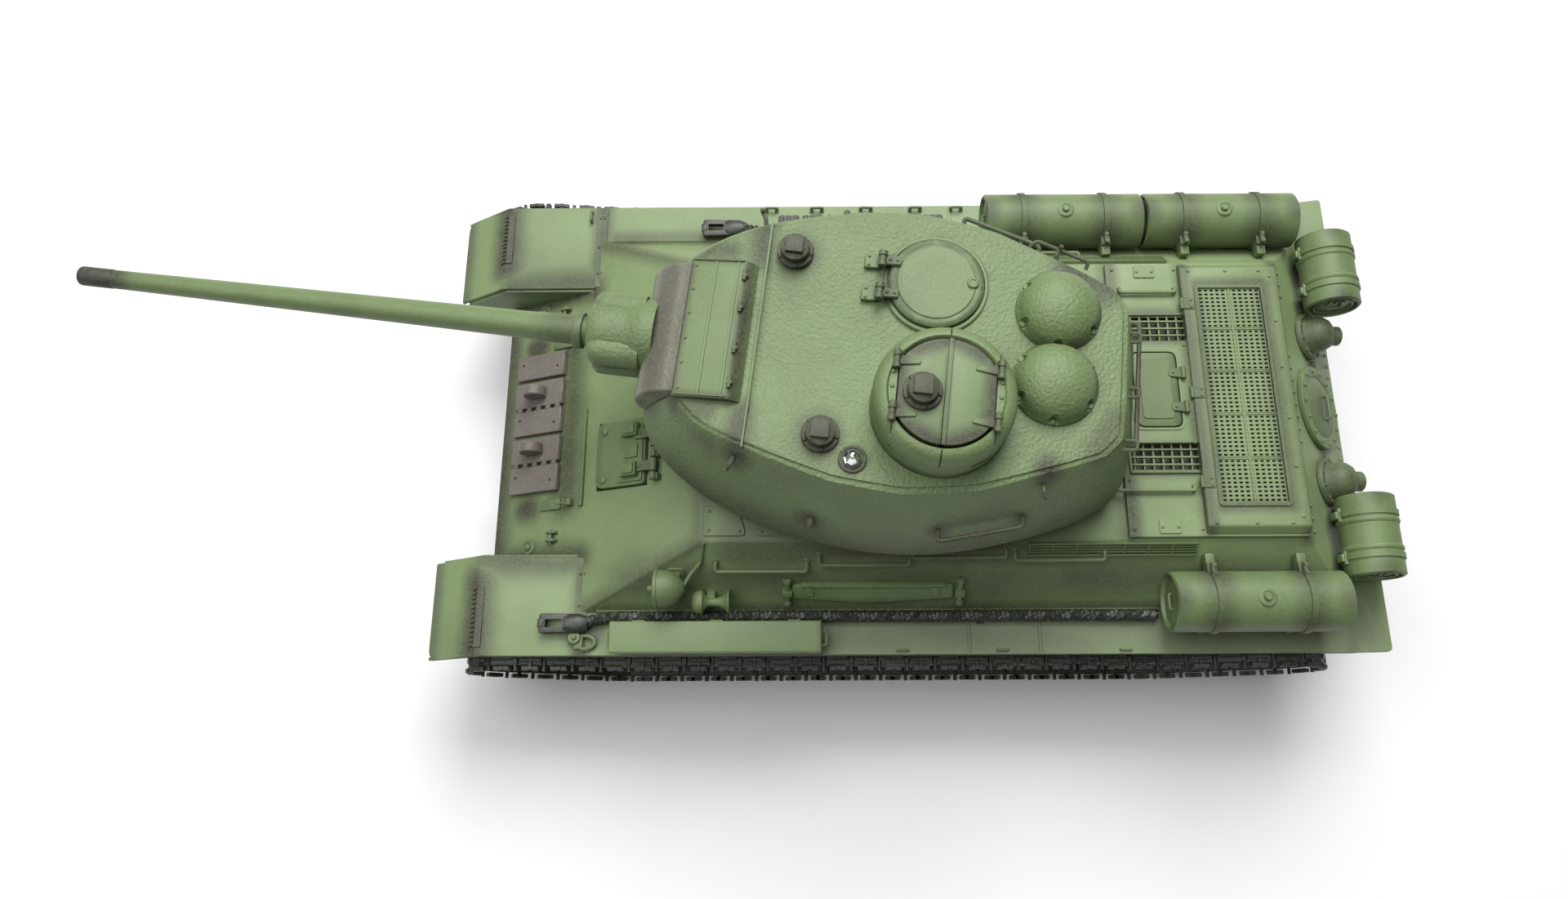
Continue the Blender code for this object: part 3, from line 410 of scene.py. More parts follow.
def plates(z0, z1, off_front, off_side, off_rear, radius=0.0):
    points = []
    for z in (z0, z1):
        half = 38.3 + (ROOF - z) * 15.6 / 15.9 - off_side
        for x in (NOSE_X - (z + off_front - NOSE_Z) / math.tan(GLACIS),
                  -83.0 + (z + off_rear - ROOF) / 0.988):
            points += [(x, half, z), (x, -half, z)]
    return hull_of(points, radius)


hatch_mid = Vector((94.2, 12.0, glacis(94.2)))
ON_GLACIS = Matrix.Translation(hatch_mid) @ Matrix.Rotation(GLACIS, 4, "Y")
mg_mid = Vector((93.5, -21.5, glacis(93.5) + 1.4))
# The first two lines, along the left side plate, are painted shade on the flank turned from the key light;
# the rest is airbrush mist on seams and fittings.
hull_mist_and_shade = [((-76, 47, 53), (92, 47, 53), 11, 0.42), ((-20, 42, 60), (62, 40, 60), 12, 0.55),
             ((132, -38, 32.2), (132, 38, 32.2), 9, 0.75), ((111, -24, 42.5), (111, 23, 42.5), 9, 0.6),
             ((106, 54, 45.5), (72, 38.3, 61.4), 5, 0.45), ((106, -54, 45.5), (72, -38.3, 61.4), 5, 0.45),
             ((106, 38.5, 45.5), (131, 38.5, 33), 7, 0.7), ((106, -38.5, 45.5), (131, -38.5, 33), 7, 0.7),
             ((72, -38, 61.4), (72, 38, 61.4), 5, 0.35), ((93, -21, 52), (96, -21, 52), 12, 0.6),
             ((122, 24, 37), (124, 24, 37), 7, 0.8), ((122, -24, 37), (124, -24, 37), 7, 0.8),
             ((-95, -46, 49.5), (-95, 50, 49.5), 6, 0.6), ((-83, -38, 61.4), (-83, 38, 61.4), 4, 0.5),
             ((-97, 54, 46), (100, 54, 46), 6, 0.55), ((-97, -54, 46), (100, -54, 46), 6, 0.55),
             ((-36.8, -37, 62), (-36.8, 37, 62), 4, 0.4)]
hull_green = painted("hull_green", hull_mist_and_shade, paint=(0.185, 0.25, 0.112, 1))
shell = carve(plates(FENDER - 0.8, ROOF, 0, 0, 0, 0.5), [plates(FENDER - 3.0, ROOF - 2.0, 2.5, 2.7, 2.8)])
front = slab([(NOSE_X, NOSE_Z), (NOSE_X - 0.6, NOSE_Z - 1.6), (101.0, glacis(101.0) - 2.2),
             (101.0, glacis(101.0) - 0.02)], "Y", -38.6, 38.6, 0.3)
back = slab([(-90.0, rear(-90) - 0.03), (-105.6, rear(-105.6)), (-104.6, rear(-104.6) - 2.6),
            (-90.0, rear(-90) - 2.6)], "Y", -38.1, 38.1, 0.3)
bulge = turned([(0, -5.6), (6.6, -5.6), (6.6, 0.6), (6.1, 2.0), (5.2, 3.4), (4.6, 3.9), (3.9, 4.3), (0, 4.4)],
               mg_mid, "X", 32)
shell = carve(shell, [front, back, bulge], "UNION")
shell = carve(shell, [turned([(0, ROOF - 5), (31.3, ROOF - 5), (31.3, ROOF + 5), (0, ROOF + 5)],
              (13.7, 0, 0), steps=48), block(-78, -40, -32, 32, ROOF - 5, ROOF + 5, 0), add(bmesh.new(),
              block(-8.2, 8.2, -9.5, 9.5, -5, 5, 0), ON_GLACIS), turned([(0, -7.5), (2.0, -7.5),
              (2.0, -4.2), (3.2, -3.1), (4.25, -1.5), (4.5, 0), (4.25, 1.5), (3.4, 2.95), (3.4, 8), (0, 8)],
              mg_mid, "X", 28)])
piece("hull_plates", shell, "hull", hull_green, replaces=["hull_upper"])

# ---- Fenders and mudguards ----
# Thin sheet shelves over the tracks, folded down at the front into mudguards and up at the back
# into short flaps; hinged mudguard strips, joint straps with rivets, and a web at the inner edge.
guard_mist = []
for s in (1, -1):
    guard_mist += [((132.2, s * 46, 45.5), (132.2, s * 64, 45.5), 9, 0.75),
                   ((104, s * 42, 45.5), (104, s * 64, 45.5), 5, 0.6),
                   ((146, s * 40, 36), (146, s * 64, 36), 5, 0.45),
                   ((106, s * 41, 45.5), (130, s * 40, 45.5), 7, 0.5),
                   ((-97, s * 48, 45.8), (-97, s * 64, 45.8), 5, 0.5),
                   ((-95, s * 55, 45.5), (100, s * 55, 45.5), 4, 0.45)]
guard_mist += [((41, 57, 46), (41, 65, 46), 3, 0.5), ((100, 60, 45.6), (105, 60, 45.6), 6, 0.6)]
# The added line along the middle of the left fender is painted shade beside the left side plate; guard_mist
# itself is airbrush mist.
guard_green = painted("guard_green", guard_mist + [((-100, 60, 45), (84, 60, 45), 12, 0.42)],
                      paint=(0.18, 0.245, 0.108, 1))


def rounded(points, radii, steps=5):
    """Outline with its corners rounded, each by its own radius."""
    out = []
    count = len(points)
    for i, (p, r) in enumerate(zip(points, radii)):
        p, a, b = Vector(p), Vector(points[i - 1]), Vector(points[(i + 1) % count])
        if not r:
            out.append(tuple(p))
            continue
        u, w = (a - p).normalized(), (b - p).normalized()
        cut = r / math.tan(u.angle(w) / 2)
        start, end = p + u * cut, p + w * cut
        for k in range(steps + 1):
            t = k / steps
            out.append(tuple(start * (1 - t) ** 2 + p * 2 * t * (1 - t) + end * t * t))
    return out


for side, s in (("left", 1), ("right", -1)):
    outline = rounded([(-105.9, s * 39.5), (-105.9, s * 65), (146.7, s * 65), (146.7, s * 38.9)],
                      (0, 1.2, 3.2, 0.6))
    sheet = slab(outline, "Z", FENDER - 1.2, FENDER, 0)
    for x in (132.2, 130.6, -98.0):
        bmesh.ops.bisect_plane(sheet, geom=sheet.verts[:] + sheet.edges[:] + sheet.faces[:],
                               plane_co=(x, 0, 0), plane_no=(1, 0, 0))
    for v in sheet.verts:
        if v.co.x > 132.21:
            v.co.z -= (v.co.x - 132.2) * 10.2 / 14.5
        elif v.co.x < -98.01:
            v.co.z += (-98.0 - v.co.x) * 2.8 / 7.9
    soften(sheet, 0.22, 2, 50)
    lip = slab([(-98, FENDER - 2.2), (132.0, FENDER - 2.2), (146.0, 33.4), (146.6, 35.2),
               (132.3, FENDER - 0.2), (-98, FENDER - 0.2)], "Y", s * 64.2, s * 65.0, 0.12, 1)
    web = slab([(100, FENDER - 0.7), (131, FENDER - 0.7), (144.6, 35.6), (131.6, NOSE_Z - 0.6)], "Y",
               s * 38.2, s * 39.4, 0.15, 1)
    add(sheet, lip)
    add(sheet, web)
    for x, y0, y1 in ((104.2, 39.4, 64.4), (-16.0, 55.0, 64.4), (2.5, 57.5, 64.4)):
        width = 1.5 if x > 100 else 0.5
        add(sheet, block(x - width, x + width, min(s * y0, s * y1), max(s * y0, s * y1), FENDER - 0.2,
            FENDER + 0.28, 0.12, 1))
    for x in (103.6, 104.8):
        for y in (43.6, 52.0, 61.4):
            add(sheet, turned([(0.42, 0), (0.42, 0.18), (0.25, 0.34), (0, 0.38)], (x, s * y, FENDER + 0.26),
                steps=8))
    piece("fender_" + side, sheet, "hull", guard_green)

    hinge = block(129.9, 131.9, min(s * 47, s * 62.6), max(s * 47, s * 62.6), FENDER - 0.2, FENDER + 0.35,
                  0.12, 1)
    for k in range(13):
        y = 47.3 + k * 1.22
        knuckle = turned([(0, 0), (0.42, 0), (0.48, 0.1), (0.48, 0.7), (0.42, 0.8), (0, 0.8)],
                         (132.3, s * y - 0.4, FENDER + 0.25), "Y", 8)
        add(hinge, knuckle)
        add(hinge, block(132.0, 133.2, s * y - 0.2, s * y + 0.45, FENDER - 0.5, FENDER + 0.12, 0.1, 1))
    piece("mudguard_hinge_" + side, hinge, "hull", guard_green)

# ---- Glacis fittings ----
# Driver's hatch of thick cast plate with two bosses, lens covers and double hinges; machine gun in
# its ball; splash strip, tow hooks with latches, a clevis and a round boss, all glued on and sprayed.
fitting_green = painted("fitting_green", base=0.22)
fitting_brown = painted("fitting_brown", base=0.62)
# Near-black finish for sheets set in the grille, radiator and louvre openings: painted shade standing for the
# dark inside the hull.
dark = painted("painted_recess_shade", paint=(0.018, 0.022, 0.016, 1), mist=(0.02, 0.018, 0.015, 1), base=0.3)
hatch_green = painted("driver_hatch_green", [((102, 3, 50), (102, 21, 50), 3, 0.5),
                      ((86, 3, 56), (86, 21, 56), 5, 0.5)])


def stud(r, h, sides=10):
    return turned([(r, 0), (r, h * 0.55), (r * 0.8, h * 0.85), (r * 0.4, h), (0, h)], steps=sides)


def pipe(points, radius, bend=1.2, sides=2):
    """Round bar through the points with rounded bends and closed ends."""
    path = [Vector(points[0])]
    for a, p, b in zip(points, points[1:], points[2:]):
        a, p, b = Vector(a), Vector(p), Vector(b)
        r = min(bend, (a - p).length * 0.45, (b - p).length * 0.45)
        start, end = p + (a - p).normalized() * r, p + (b - p).normalized() * r
        for k in range(5):
            t = k / 4
            path.append(start * (1 - t) ** 2 + p * 2 * t * (1 - t) + end * t * t)
    path.append(Vector(points[-1]))
    line = bpy.data.curves.new("pipe", "CURVE")
    line.dimensions = "3D"
    line.bevel_depth = radius
    line.bevel_resolution = sides
    line.use_fill_caps = True
    spline = line.splines.new("POLY")
    spline.points.add(len(path) - 1)
    for point, q in zip(spline.points, path):
        point.co = (*q, 1)
    ob = bpy.data.objects.new("pipe", line)
    bpy.context.scene.collection.objects.link(ob)
    mesh = bpy.data.meshes.new_from_object(ob.evaluated_get(bpy.context.evaluated_depsgraph_get()))
    bm = bmesh.new()
    bm.from_mesh(mesh)
    bmesh.ops.remove_doubles(bm, verts=bm.verts, dist=0.0005)
    bmesh.ops.recalc_face_normals(bm, faces=bm.faces)
    bpy.data.objects.remove(ob)
    bpy.data.curves.remove(line)
    bpy.data.meshes.remove(mesh)
    return bm


bm = slab(rounded([(-7.9, -9.2), (7.9, -9.2), (7.9, 9.2), (-7.9, 9.2)], (1.2, 2.6, 2.6, 1.2)), "Z", -1.6,
          1.2, 0.3)
for y in (-6.6, 6.9):
    add(bm, stud(1.1, 0.7, 20), Matrix.Translation((5.4, y, 1.15)))
add(bm, slab(rounded([(-7.4, -7.6), (0.6, -7.6), (0.6, -3.6), (-1.4, -0.2), (-1.4, 2.6), (0.6, 5.0),
    (0.6, 8.4), (-7.4, 8.4)], (0.8,) * 8), "Z", 1.0, 1.75, 0.2))
for y in (-5.6, 5.4):
    add(bm, block(-6.6, -1.4, y - 1.9, y + 1.9, 1.5, 3.9, 0.5))
    add(bm, block(-6.2, -2.8, y - 1.4, y + 1.4, 3.7, 4.5, 0.35))
add(bm, slab(rounded([(-6.0, -2.0), (-1.8, -2.0), (-1.8, 2.0), (-6.0, 2.0)], (0.6,) * 4), "Z", 1.5, 2.3, 0.2))
for y in (-4.25, 4.75):
    add(bm, turned([(0, -1.75), (0.85, -1.75), (1.0, -1.6), (1.0, 1.6), (0.85, 1.75), (0, 1.75)],
        (-11.3, y, 2.2), "Y", 16))
    add(bm, block(-11.3, -5.0, y - 1.4, y + 1.4, 1.5, 2.6, 0.25))
    add(bm, stud(0.5, 0.5), Matrix.Translation((-7.2, y, 2.55)))
piece("driver_hatch_plate", add(bmesh.new(), bm, ON_GLACIS), "driver_hatch", hatch_green,
      replaces=["driver_hatch"])

bm = bmesh.new()
for y in (-7.3, -1.2, 1.7, 7.8):
    add(bm, turned([(0, -1.0), (0.85, -1.0), (1.0, -0.85), (1.0, 0.85), (0.85, 1.0), (0, 1.0)],
        (-11.3, y, 2.2), "Y", 16))
    add(bm, block(-12.6, -10.6, y - 0.9, y + 0.9, 0.0, 2.2, 0.2))
strip = block(12.3, 13.6, -14.6, 13.0, -0.1, 0.9, 0.15)
add(bm, strip)
for spot_y, spot_x in ((-35.7, 23.4), (11.7, 24.2)):
    hook = slab(rounded([(-3.2, 0), (3.6, 0), (4.4, 1.1), (2.4, 3.4), (-0.4, 3.6), (-3.2, 2.4)],
                (0.2, 0.6, 0.8, 1.2, 1.0, 0.6)), "Y", -0.8, 0.8, 0.2)
    hook = carve(hook, [turned([(0, -2), (0.9, -2), (0.9, 2), (0, 2)], (0.6, 0, 2.0), "Y", 14)])
    move = Matrix.Translation((spot_x - 1.0, spot_y, 0))
    add(bm, hook, move)
    add(bm, block(-3.4, 3.4, -1.5, 1.5, -0.1, 0.6, 0.2), move)
    add(bm, pipe([(-3.0, 0, 2.6), (-4.2, 0.6, 2.9), (-6.2, 0.2, 2.0)], 0.28, 0.4), move)
    add(bm, block(-7.6, -6.0, -1.0, 1.0, -0.1, 1.7, 0.3), move)
    add(bm, pipe([(-7.6, 0.7, 1.2), (-6.0, 0.7, 2.4), (-5.8, -0.7, 2.4)], 0.25, 0.4), move)
for s in (-1, 1):
    move = Matrix.Translation((21.8, s * 32.8 - 12, 0))
    for y in (-1.1, 1.1):
        add(bm, slab(rounded([(-1.6, -0.1), (1.6, -0.1), (1.6, 2.0), (-1.6, 2.0)], (0, 0, 0.9, 0.9)), "Y",
            y - 0.35, y + 0.35, 0.1, 1), move)
    add(bm, pipe([(0, -1.9, 1.2), (0, 1.9, 1.2)], 0.45), move)
    add(bm, turned([(2.1, 0), (2.1, 0.4), (1.9, 0.55), (1.5, 0.55), (1.3, 0.35), (1.0, 0.35), (0.9, 0.9),
        (0.5, 1.2), (0, 1.25)], (30.0, s * 34.9 - 12, -0.05), steps=20))
piece("glacis_fittings", add(bmesh.new(), bm, ON_GLACIS), "hull", fitting_green)

bm = turned([(0, -4.0), (1.55, -3.7), (2.85, -2.8), (3.7, -1.5), (4.0, 0), (3.7, 1.5), (2.85, 2.8),
            (1.5, 3.7), (1.45, 5.2), (1.1, 5.4), (1.1, 9.2), (0.95, 9.4), (0.5, 9.4), (0.5, 8.0), (0, 8.0)],
            mg_mid, "X", 24)
piece("bow_gun", bm, "bow_mg", painted("bow_gun_paint", base=0.55, paint=(0.12, 0.15, 0.08, 1)),
      replaces=["bow_mg"])

# ---- Spare track links ----
# Five cast links in a grey-brown primer bolted across the nose, joined by interlocking lugs;
# two of them carry a tall half-round guide tooth.
link_brown = painted("link_brown", base=0.25, paint=(0.19, 0.165, 0.15, 1), mist=(0.06, 0.048, 0.042, 1),
                     casting=0.35, gloss=0.04)
bm = bmesh.new()
y = -21.6
for k, wide in enumerate((8.3, 8.6, 8.2, 8.3, 8.6)):
    plate = block(-8.2, 8.2, 0.5, wide - 0.5, -0.75, 0.75, 0.2, 1)
    for j in range(5):
        x = -7.4 + j * 3.3 + (0 if k % 2 else 1.65)
        if x + 1.5 < 8.3:
            add(plate, block(x, x + 1.45, wide - 0.9, wide + 0.55, -0.7, 0.7, 0.15, 1))
    if k % 2 == 0:
        holes = [turned([(0, -2), (0.38, -2), (0.38, 2), (0, 2)], (x, wide / 2 + dy, 0), steps=10)
                 for x, dy in ((-6.0, 0.8), (6.2, -1.0))]
        plate = carve(plate, holes)
    else:
        tooth = turned([(0, -1.5), (2.9, -1.5), (3.15, -1.2), (3.15, 1.2), (2.9, 1.5), (0, 1.5)],
                       (0, wide / 2, 2.6), "Y", 24)
        add(plate, tooth)
        add(plate, block(-2.9, 2.9, wide / 2 - 1.6, wide / 2 + 1.6, 0.6, 2.6, 0.3))
    add(bm, plate, Matrix.Translation((0, y, 0)))
    y += wide
along = (Matrix.Translation((120.2, 0, glacis(120.2)))
         @ Matrix.Rotation(GLACIS, 4, "Y")
         @ Matrix.Translation((0, 0, 1.0)))
piece("spare_track_links", add(bmesh.new(), bm, along), "hull", link_brown, replaces=["spare_links"])

# ---- Side plate fittings ----
# Bent wire handrails, engine air grilles under the roof edge, a two-man saw held by two posts, a
# headlight with its conduit, a horn, and small bolted cover plates on the roof beside the turret.
LEAN = math.atan2(15.9, 15.6)


def on_side(s):
    """Frame on a side plate: x along the hull, y up the slope from the fender, z out of the plate."""
    return Matrix(((1, 0, 0, 0), (0, -s * math.cos(LEAN), s * math.sin(LEAN), s * 53.9),
                   (0, math.sin(LEAN), math.cos(LEAN), FENDER), (0, 0, 0, 1)))


def settle(bm):
    """Turns every shell's faces outward after a mirrored placement."""
    bmesh.ops.recalc_face_normals(bm, faces=bm.faces)
    return bm


for side, s in (("left", 1), ("right", -1)):
    bm = bmesh.new()
    rails = ((68.1, 44.7, 15.1), (41.6, 18.6, 17.0), (17.9, -5.9, 19.2), (-8.3, -31.0, 18.2))
    for x0, x1, a in rails:
        add(bm, pipe([(x0, a + 1.4, -0.4), (x0, a + 0.9, 1.0), (x0, a - 0.8, 1.7), (x1, a - 0.8, 1.7),
            (x1, a + 0.9, 1.0), (x1, a + 1.4, -0.4)], 0.55, 1.0))
        for x in (x0, x1):
            add(bm, turned([(0.95, -0.1), (0.95, 0.25), (0.75, 0.4), (0, 0.4)], (x, a + 1.35, 0), steps=10))
    add(bm, block(-54.4, -11.6, 21.35, 21.9, -0.4, 0.9, 0.1, 1))
    add(bm, block(-54.4, -11.6, 17.9, 18.4, -0.4, 0.9, 0.1, 1))
    for k in range(3):
        add(bm, block(-54.2, -11.8, 18.95 + k * 0.8, 19.3 + k * 0.8, -0.4, 0.75, 0.06, 1))
    for k in range(8):
        x = -54.2 + k * 6.07
        add(bm, block(x - 0.2, x + 0.2, 18.0, 21.8, -0.4, 0.85, 0.06, 1))
    add(bm, block(-98, 100, 0.2, 0.9, -0.1, 0.35, 0.1, 1))
    piece("side_rails_" + side, settle(add(bmesh.new(), bm, on_side(s))), "hull", fitting_green)
    # A dark sheet behind the grille bars is painted shade in the grille openings.
    shade = block(-54.0, -12.0, 18.2, 21.6, -0.3, 0.12, 0)
    piece("air_grille_shadow_" + side, settle(add(bmesh.new(), shade, on_side(s))), "hull", dark)

saw_green = painted("saw_green", [((4, 52, 48), (50, 52, 48), 4, 0.5)], base=0.1)
bm = slab(rounded([(7.0, 5.6), (24, 4.2), (32, 4.2), (48.5, 5.6), (48.5, 9.4), (46.0, 9.9), (9.0, 9.9),
          (7.0, 9.4)], (0.6, 3, 3, 0.6, 0.5, 0.8, 0.8, 0.5)), "Z", 0.3, 1.5, 0.2)
add(bm, block(9, 46, 9.4, 10.3, 0.3, 2.2, 0.2))
for x in (11.5, 44.0):
    add(bm, block(x - 1.0, x + 1.0, 6.4, 9.0, 1.3, 1.9, 0.15, 1))
for x in (5.2, 49.8):
    add(bm, pipe([(x, 3.6, 1.6), (x, 11.6, 1.6)], 0.8, 0.5))
    add(bm, block(x - 1.3, x + 1.3, 6.4, 8.4, 0.0, 2.6, 0.3))
    for a in (4.3, 11.2):
        add(bm, turned([(0.8, -0.5), (1.1, -0.4), (1.1, 0.4), (0.8, 0.5)], (x, a, 1.6), "Y", 12))
for x in (16.0, 28.0, 39.0):
    add(bm, stud(0.4, 0.35, 8), Matrix.Translation((x, 9.85, 2.2)))
piece("cross_cut_saw", settle(add(bmesh.new(), bm, on_side(1))), "hull", saw_green, replaces=["saw_box"])

lamp_green = painted("lamp_green", [((79, 50, 56), (82, 50, 56), 3, 0.5)], base=0.12)
bm = turned([(0, 0.0), (0.9, 0.1), (1.7, 0.5), (3.3, 1.7), (4.3, 3.4), (4.7, 5.4), (4.75, 6.8), (5.0, 6.9),
            (5.0, 7.6), (4.6, 7.8), (4.3, 7.6), (2.4, 8.2), (0.9, 8.4), (0.85, 9.1), (0.55, 9.5), (0, 9.6)],
            (75.5, 49.6, 58.8), "X", 32)
lean_in = on_side(1)
add(bm, block(77.2, 79.6, 11.6, 13.4, -0.1, 3.6, 0.3), lean_in)
add(bm, block(76.2, 80.6, 10.6, 14.4, -0.1, 0.5, 0.15, 1), lean_in)
add(bm, pipe([(76.0, 49.0, 58.6), (74.0, 45.5, 58.3), (71.9, 43.0, 57.6), (71.2, 39.8, 60.2),
    (71.0, 38.6, 61.6)], 0.5, 1.5))
piece("headlight_shell", settle(bm), "hull", lamp_green, replaces=["headlight"])
bm = turned([(0, 0.0), (1.4, 0.1), (2.4, 0.5), (3.0, 1.3), (3.15, 2.1), (3.15, 2.9), (2.6, 3.1), (1.4, 4.0),
            (1.1, 4.8), (1.15, 6.6), (1.6, 8.0), (2.5, 9.0), (3.4, 9.5), (3.45, 9.75), (3.2, 9.8),
            (2.3, 9.3), (0, 9.0)], (65.0, 52.2, 52.6), "X", 28)
bmesh.ops.transform(bm, matrix=Matrix.Translation((139.4, 0, 0)) @ Matrix.Scale(-1, 4, (1, 0, 0)),
                    verts=bm.verts)
add(bm, block(68.4, 70.6, 5.2, 7.4, -0.1, 3.2, 0.3), lean_in)
piece("horn_trumpet", settle(bm), "hull", lamp_green, replaces=["horn"])

bm = slab(rounded([(71.0, 29.0), (71.0, 36.8), (60.0, 36.8), (62.2, 29.4)], (0.6, 0.6, 1.2, 1.2)), "Z",
          ROOF - 0.1, ROOF + 0.6, 0.15, 1)
add(bm, slab(rounded([(57.4, 30.8), (57.4, 36.8), (45.6, 36.8)], (0.8, 0.6, 0.6)), "Z", ROOF - 0.1,
    ROOF + 0.6, 0.15, 1))
for x, y in ((69.6, 30.4), (63.4, 30.6), (69.6, 35.4), (61.8, 35.6), (56.4, 32.6), (56.2, 35.9),
             (48.6, 36.0)):
    add(bm, stud(0.45, 0.4, 8), Matrix.Translation((x, y, ROOF + 0.55)))
plates_other = bm.copy()
bmesh.ops.transform(plates_other, matrix=Matrix.Scale(-1, 4, (0, 1, 0)), verts=plates_other.verts)
add(bm, plates_other)
piece("roof_cover_plates", settle(bm), "hull", hull_green)

# ---- Stowage box and fender fittings ----
# A sheet box with an overlapping lid on the left fender, a tow shackle ahead of it, and on the
# right fender a row of grousers, loop brackets along the edge and a wire grip on the mudguard.
# The band along the outer face just under the lid's overhang is a painted shadow of the lid; the mark at the
# rear end is airbrush mist.
box_green = painted("box_green", [((42, 64.8, 50), (95, 64.8, 50), 2.5, 0.6),
                    ((41, 57.5, 53), (41, 65, 53), 2.0, 0.4)], base=0.02)
bm = block(41.4, 94.8, 57.4, 64.6, FENDER, FENDER + 6.6, 0.3)
add(bm, block(41.0, 95.2, 57.0, 65.0, FENDER + 5.6, FENDER + 8.0, 0.45, 3))
for x in (45.6, 62.0, 78.0, 90.4):
    add(bm, block(x - 1.2, x + 1.2, 64.3, 65.1, FENDER + 3.4, FENDER + 5.8, 0.15, 1))
    add(bm, turned([(0, -1.3), (0.42, -1.3), (0.42, 1.3), (0, 1.3)], (x, 64.9, FENDER + 5.2), "X", 10))
for x in (48.0, 68.0, 88.0):
    add(bm, turned([(0, -1.6), (0.5, -1.6), (0.5, 1.6), (0, 1.6)], (x, 57.0, FENDER + 6.0), "X", 10))
for x in (40.9, 95.1):
    add(bm, pipe([(x, 59.4, FENDER + 4.4), (x + (1.1 if x > 60 else -1.1), 59.4, FENDER + 4.2),
                  (x + (1.1 if x > 60 else -1.1), 62.8, FENDER + 4.2), (x, 62.8, FENDER + 4.4)], 0.35, 0.5))
piece("stowage_locker", bm, "hull", box_green, replaces=["stowage_box"])

bm = turned([(2.2, 0), (2.2, 0.5), (1.8, 0.7), (1.7, 2.0), (1.5, 2.3), (0.7, 2.3), (0.6, 2.8), (0.3, 3.0),
            (0, 3.0)], (105.2, 60.4, FENDER - 0.05), steps=20)
loop = [(104.0 - 3.0 * math.sin(a) * 0.9 - 1.4, 61.6 + 1.7 * math.cos(a), FENDER + 1.0)
        for a in [k * math.pi / 8 for k in range(-1, 10)]]
add(bm, pipe(loop, 0.5, 0.3))
add(bm, block(103.0, 105.4, 59.3, 63.4, FENDER - 0.1, FENDER + 1.5, 0.4))
add(bm, pipe([(107.4, -63.2, FENDER - 0.1), (107.4, -63.2, FENDER + 1.6), (107.4, -60.0, FENDER + 1.6),
              (107.4, -60.0, FENDER - 0.1)], 0.4, 0.6))
for x in (54.6, 41.3, 26.9, 12.4, 0.4, -96.0):
    add(bm, pipe([(x - 1.5, -63.6, FENDER - 0.1), (x - 1.5, -63.6, FENDER + 1.8),
        (x + 1.5, -63.6, FENDER + 1.8), (x + 1.5, -63.6, FENDER - 0.1)], 0.4, 0.6))
    add(bm, block(x - 2.1, x - 0.9, -64.6, -62.8, FENDER - 0.1, FENDER + 0.4, 0.1, 1))
    add(bm, block(x + 0.9, x + 2.1, -64.6, -62.8, FENDER - 0.1, FENDER + 0.4, 0.1, 1))
for x in (88.0, 64.0, 20.0, -6.0, -38.0):
    add(bm, pipe([(x - 1.4, 63.9, FENDER - 0.1), (x - 1.4, 63.9, FENDER + 0.9), (x + 1.4, 63.9, FENDER + 0.9),
                  (x + 1.4, 63.9, FENDER - 0.1)], 0.3, 0.4))
piece("fender_fittings", bm, "hull", fitting_green)

black = painted("black_iron", paint=(0.013, 0.014, 0.012, 1), mist=(0.03, 0.026, 0.02, 1), base=0.2,
                gloss=0.08)
bm = bmesh.new()
for k in range(7):
    x = 7.5 + k * 7.0
    add(bm, block(x - 3.0, x + 3.0, -61.6, -58.0, FENDER, FENDER + 1.0, 0.2, 1))
    for dx in (-2.0, 0, 2.0):
        add(bm, block(x + dx - 0.45, x + dx + 0.45, -61.3, -58.3, FENDER + 0.8, FENDER + 1.9, 0.15, 1))
piece("grousers", bm, "hull", black)

# ---- Tow cables ----
# Black steel-look rope, six strands laid round each other, with a cast tapered socket and a
# rectangular eye at the front; it lies on the fender against the side plate and is clipped there.
def strands(route, radius, turns_mm, count):
    """Strands wound round a route of points, each a thin round bar."""
    fine = []
    for i in range(len(route) - 1):
        p = [Vector(route[max(0, min(len(route) - 1, i + k))]) for k in (-1, 0, 1, 2)]
        steps = max(2, int((p[2] - p[1]).length / 1.1))
        for k in range(steps):
            t = k / steps
            fine.append(0.5 * ((2 * p[1]) + (p[2] - p[0]) * t
                             + (2 * p[0] - 5 * p[1] + 4 * p[2] - p[3]) * t * t
                             + (3 * p[1] - 3 * p[2] + p[3] - p[0]) * t ** 3))
    fine.append(Vector(route[-1]))
    bm = bmesh.new()
    far, turn = 0.0, []
    for i, p in enumerate(fine):
        far += (p - fine[i - 1]).length if i else 0.0
        turn.append(far * math.tau / turns_mm)
    for j in range(count):
        path = []
        for i, p in enumerate(fine):
            ahead = (fine[min(i + 1, len(fine) - 1)] - fine[max(i - 1, 0)]).normalized()
            across = ahead.cross(Vector((0, 0, 1))).normalized()
            a = turn[i] + j * math.tau / count
            path.append(p + (across * math.cos(a) + across.cross(ahead) * math.sin(a)) * radius * 0.56)
        add(bm, pipe(path, radius * 0.47, 0.05, 1))
    return bm


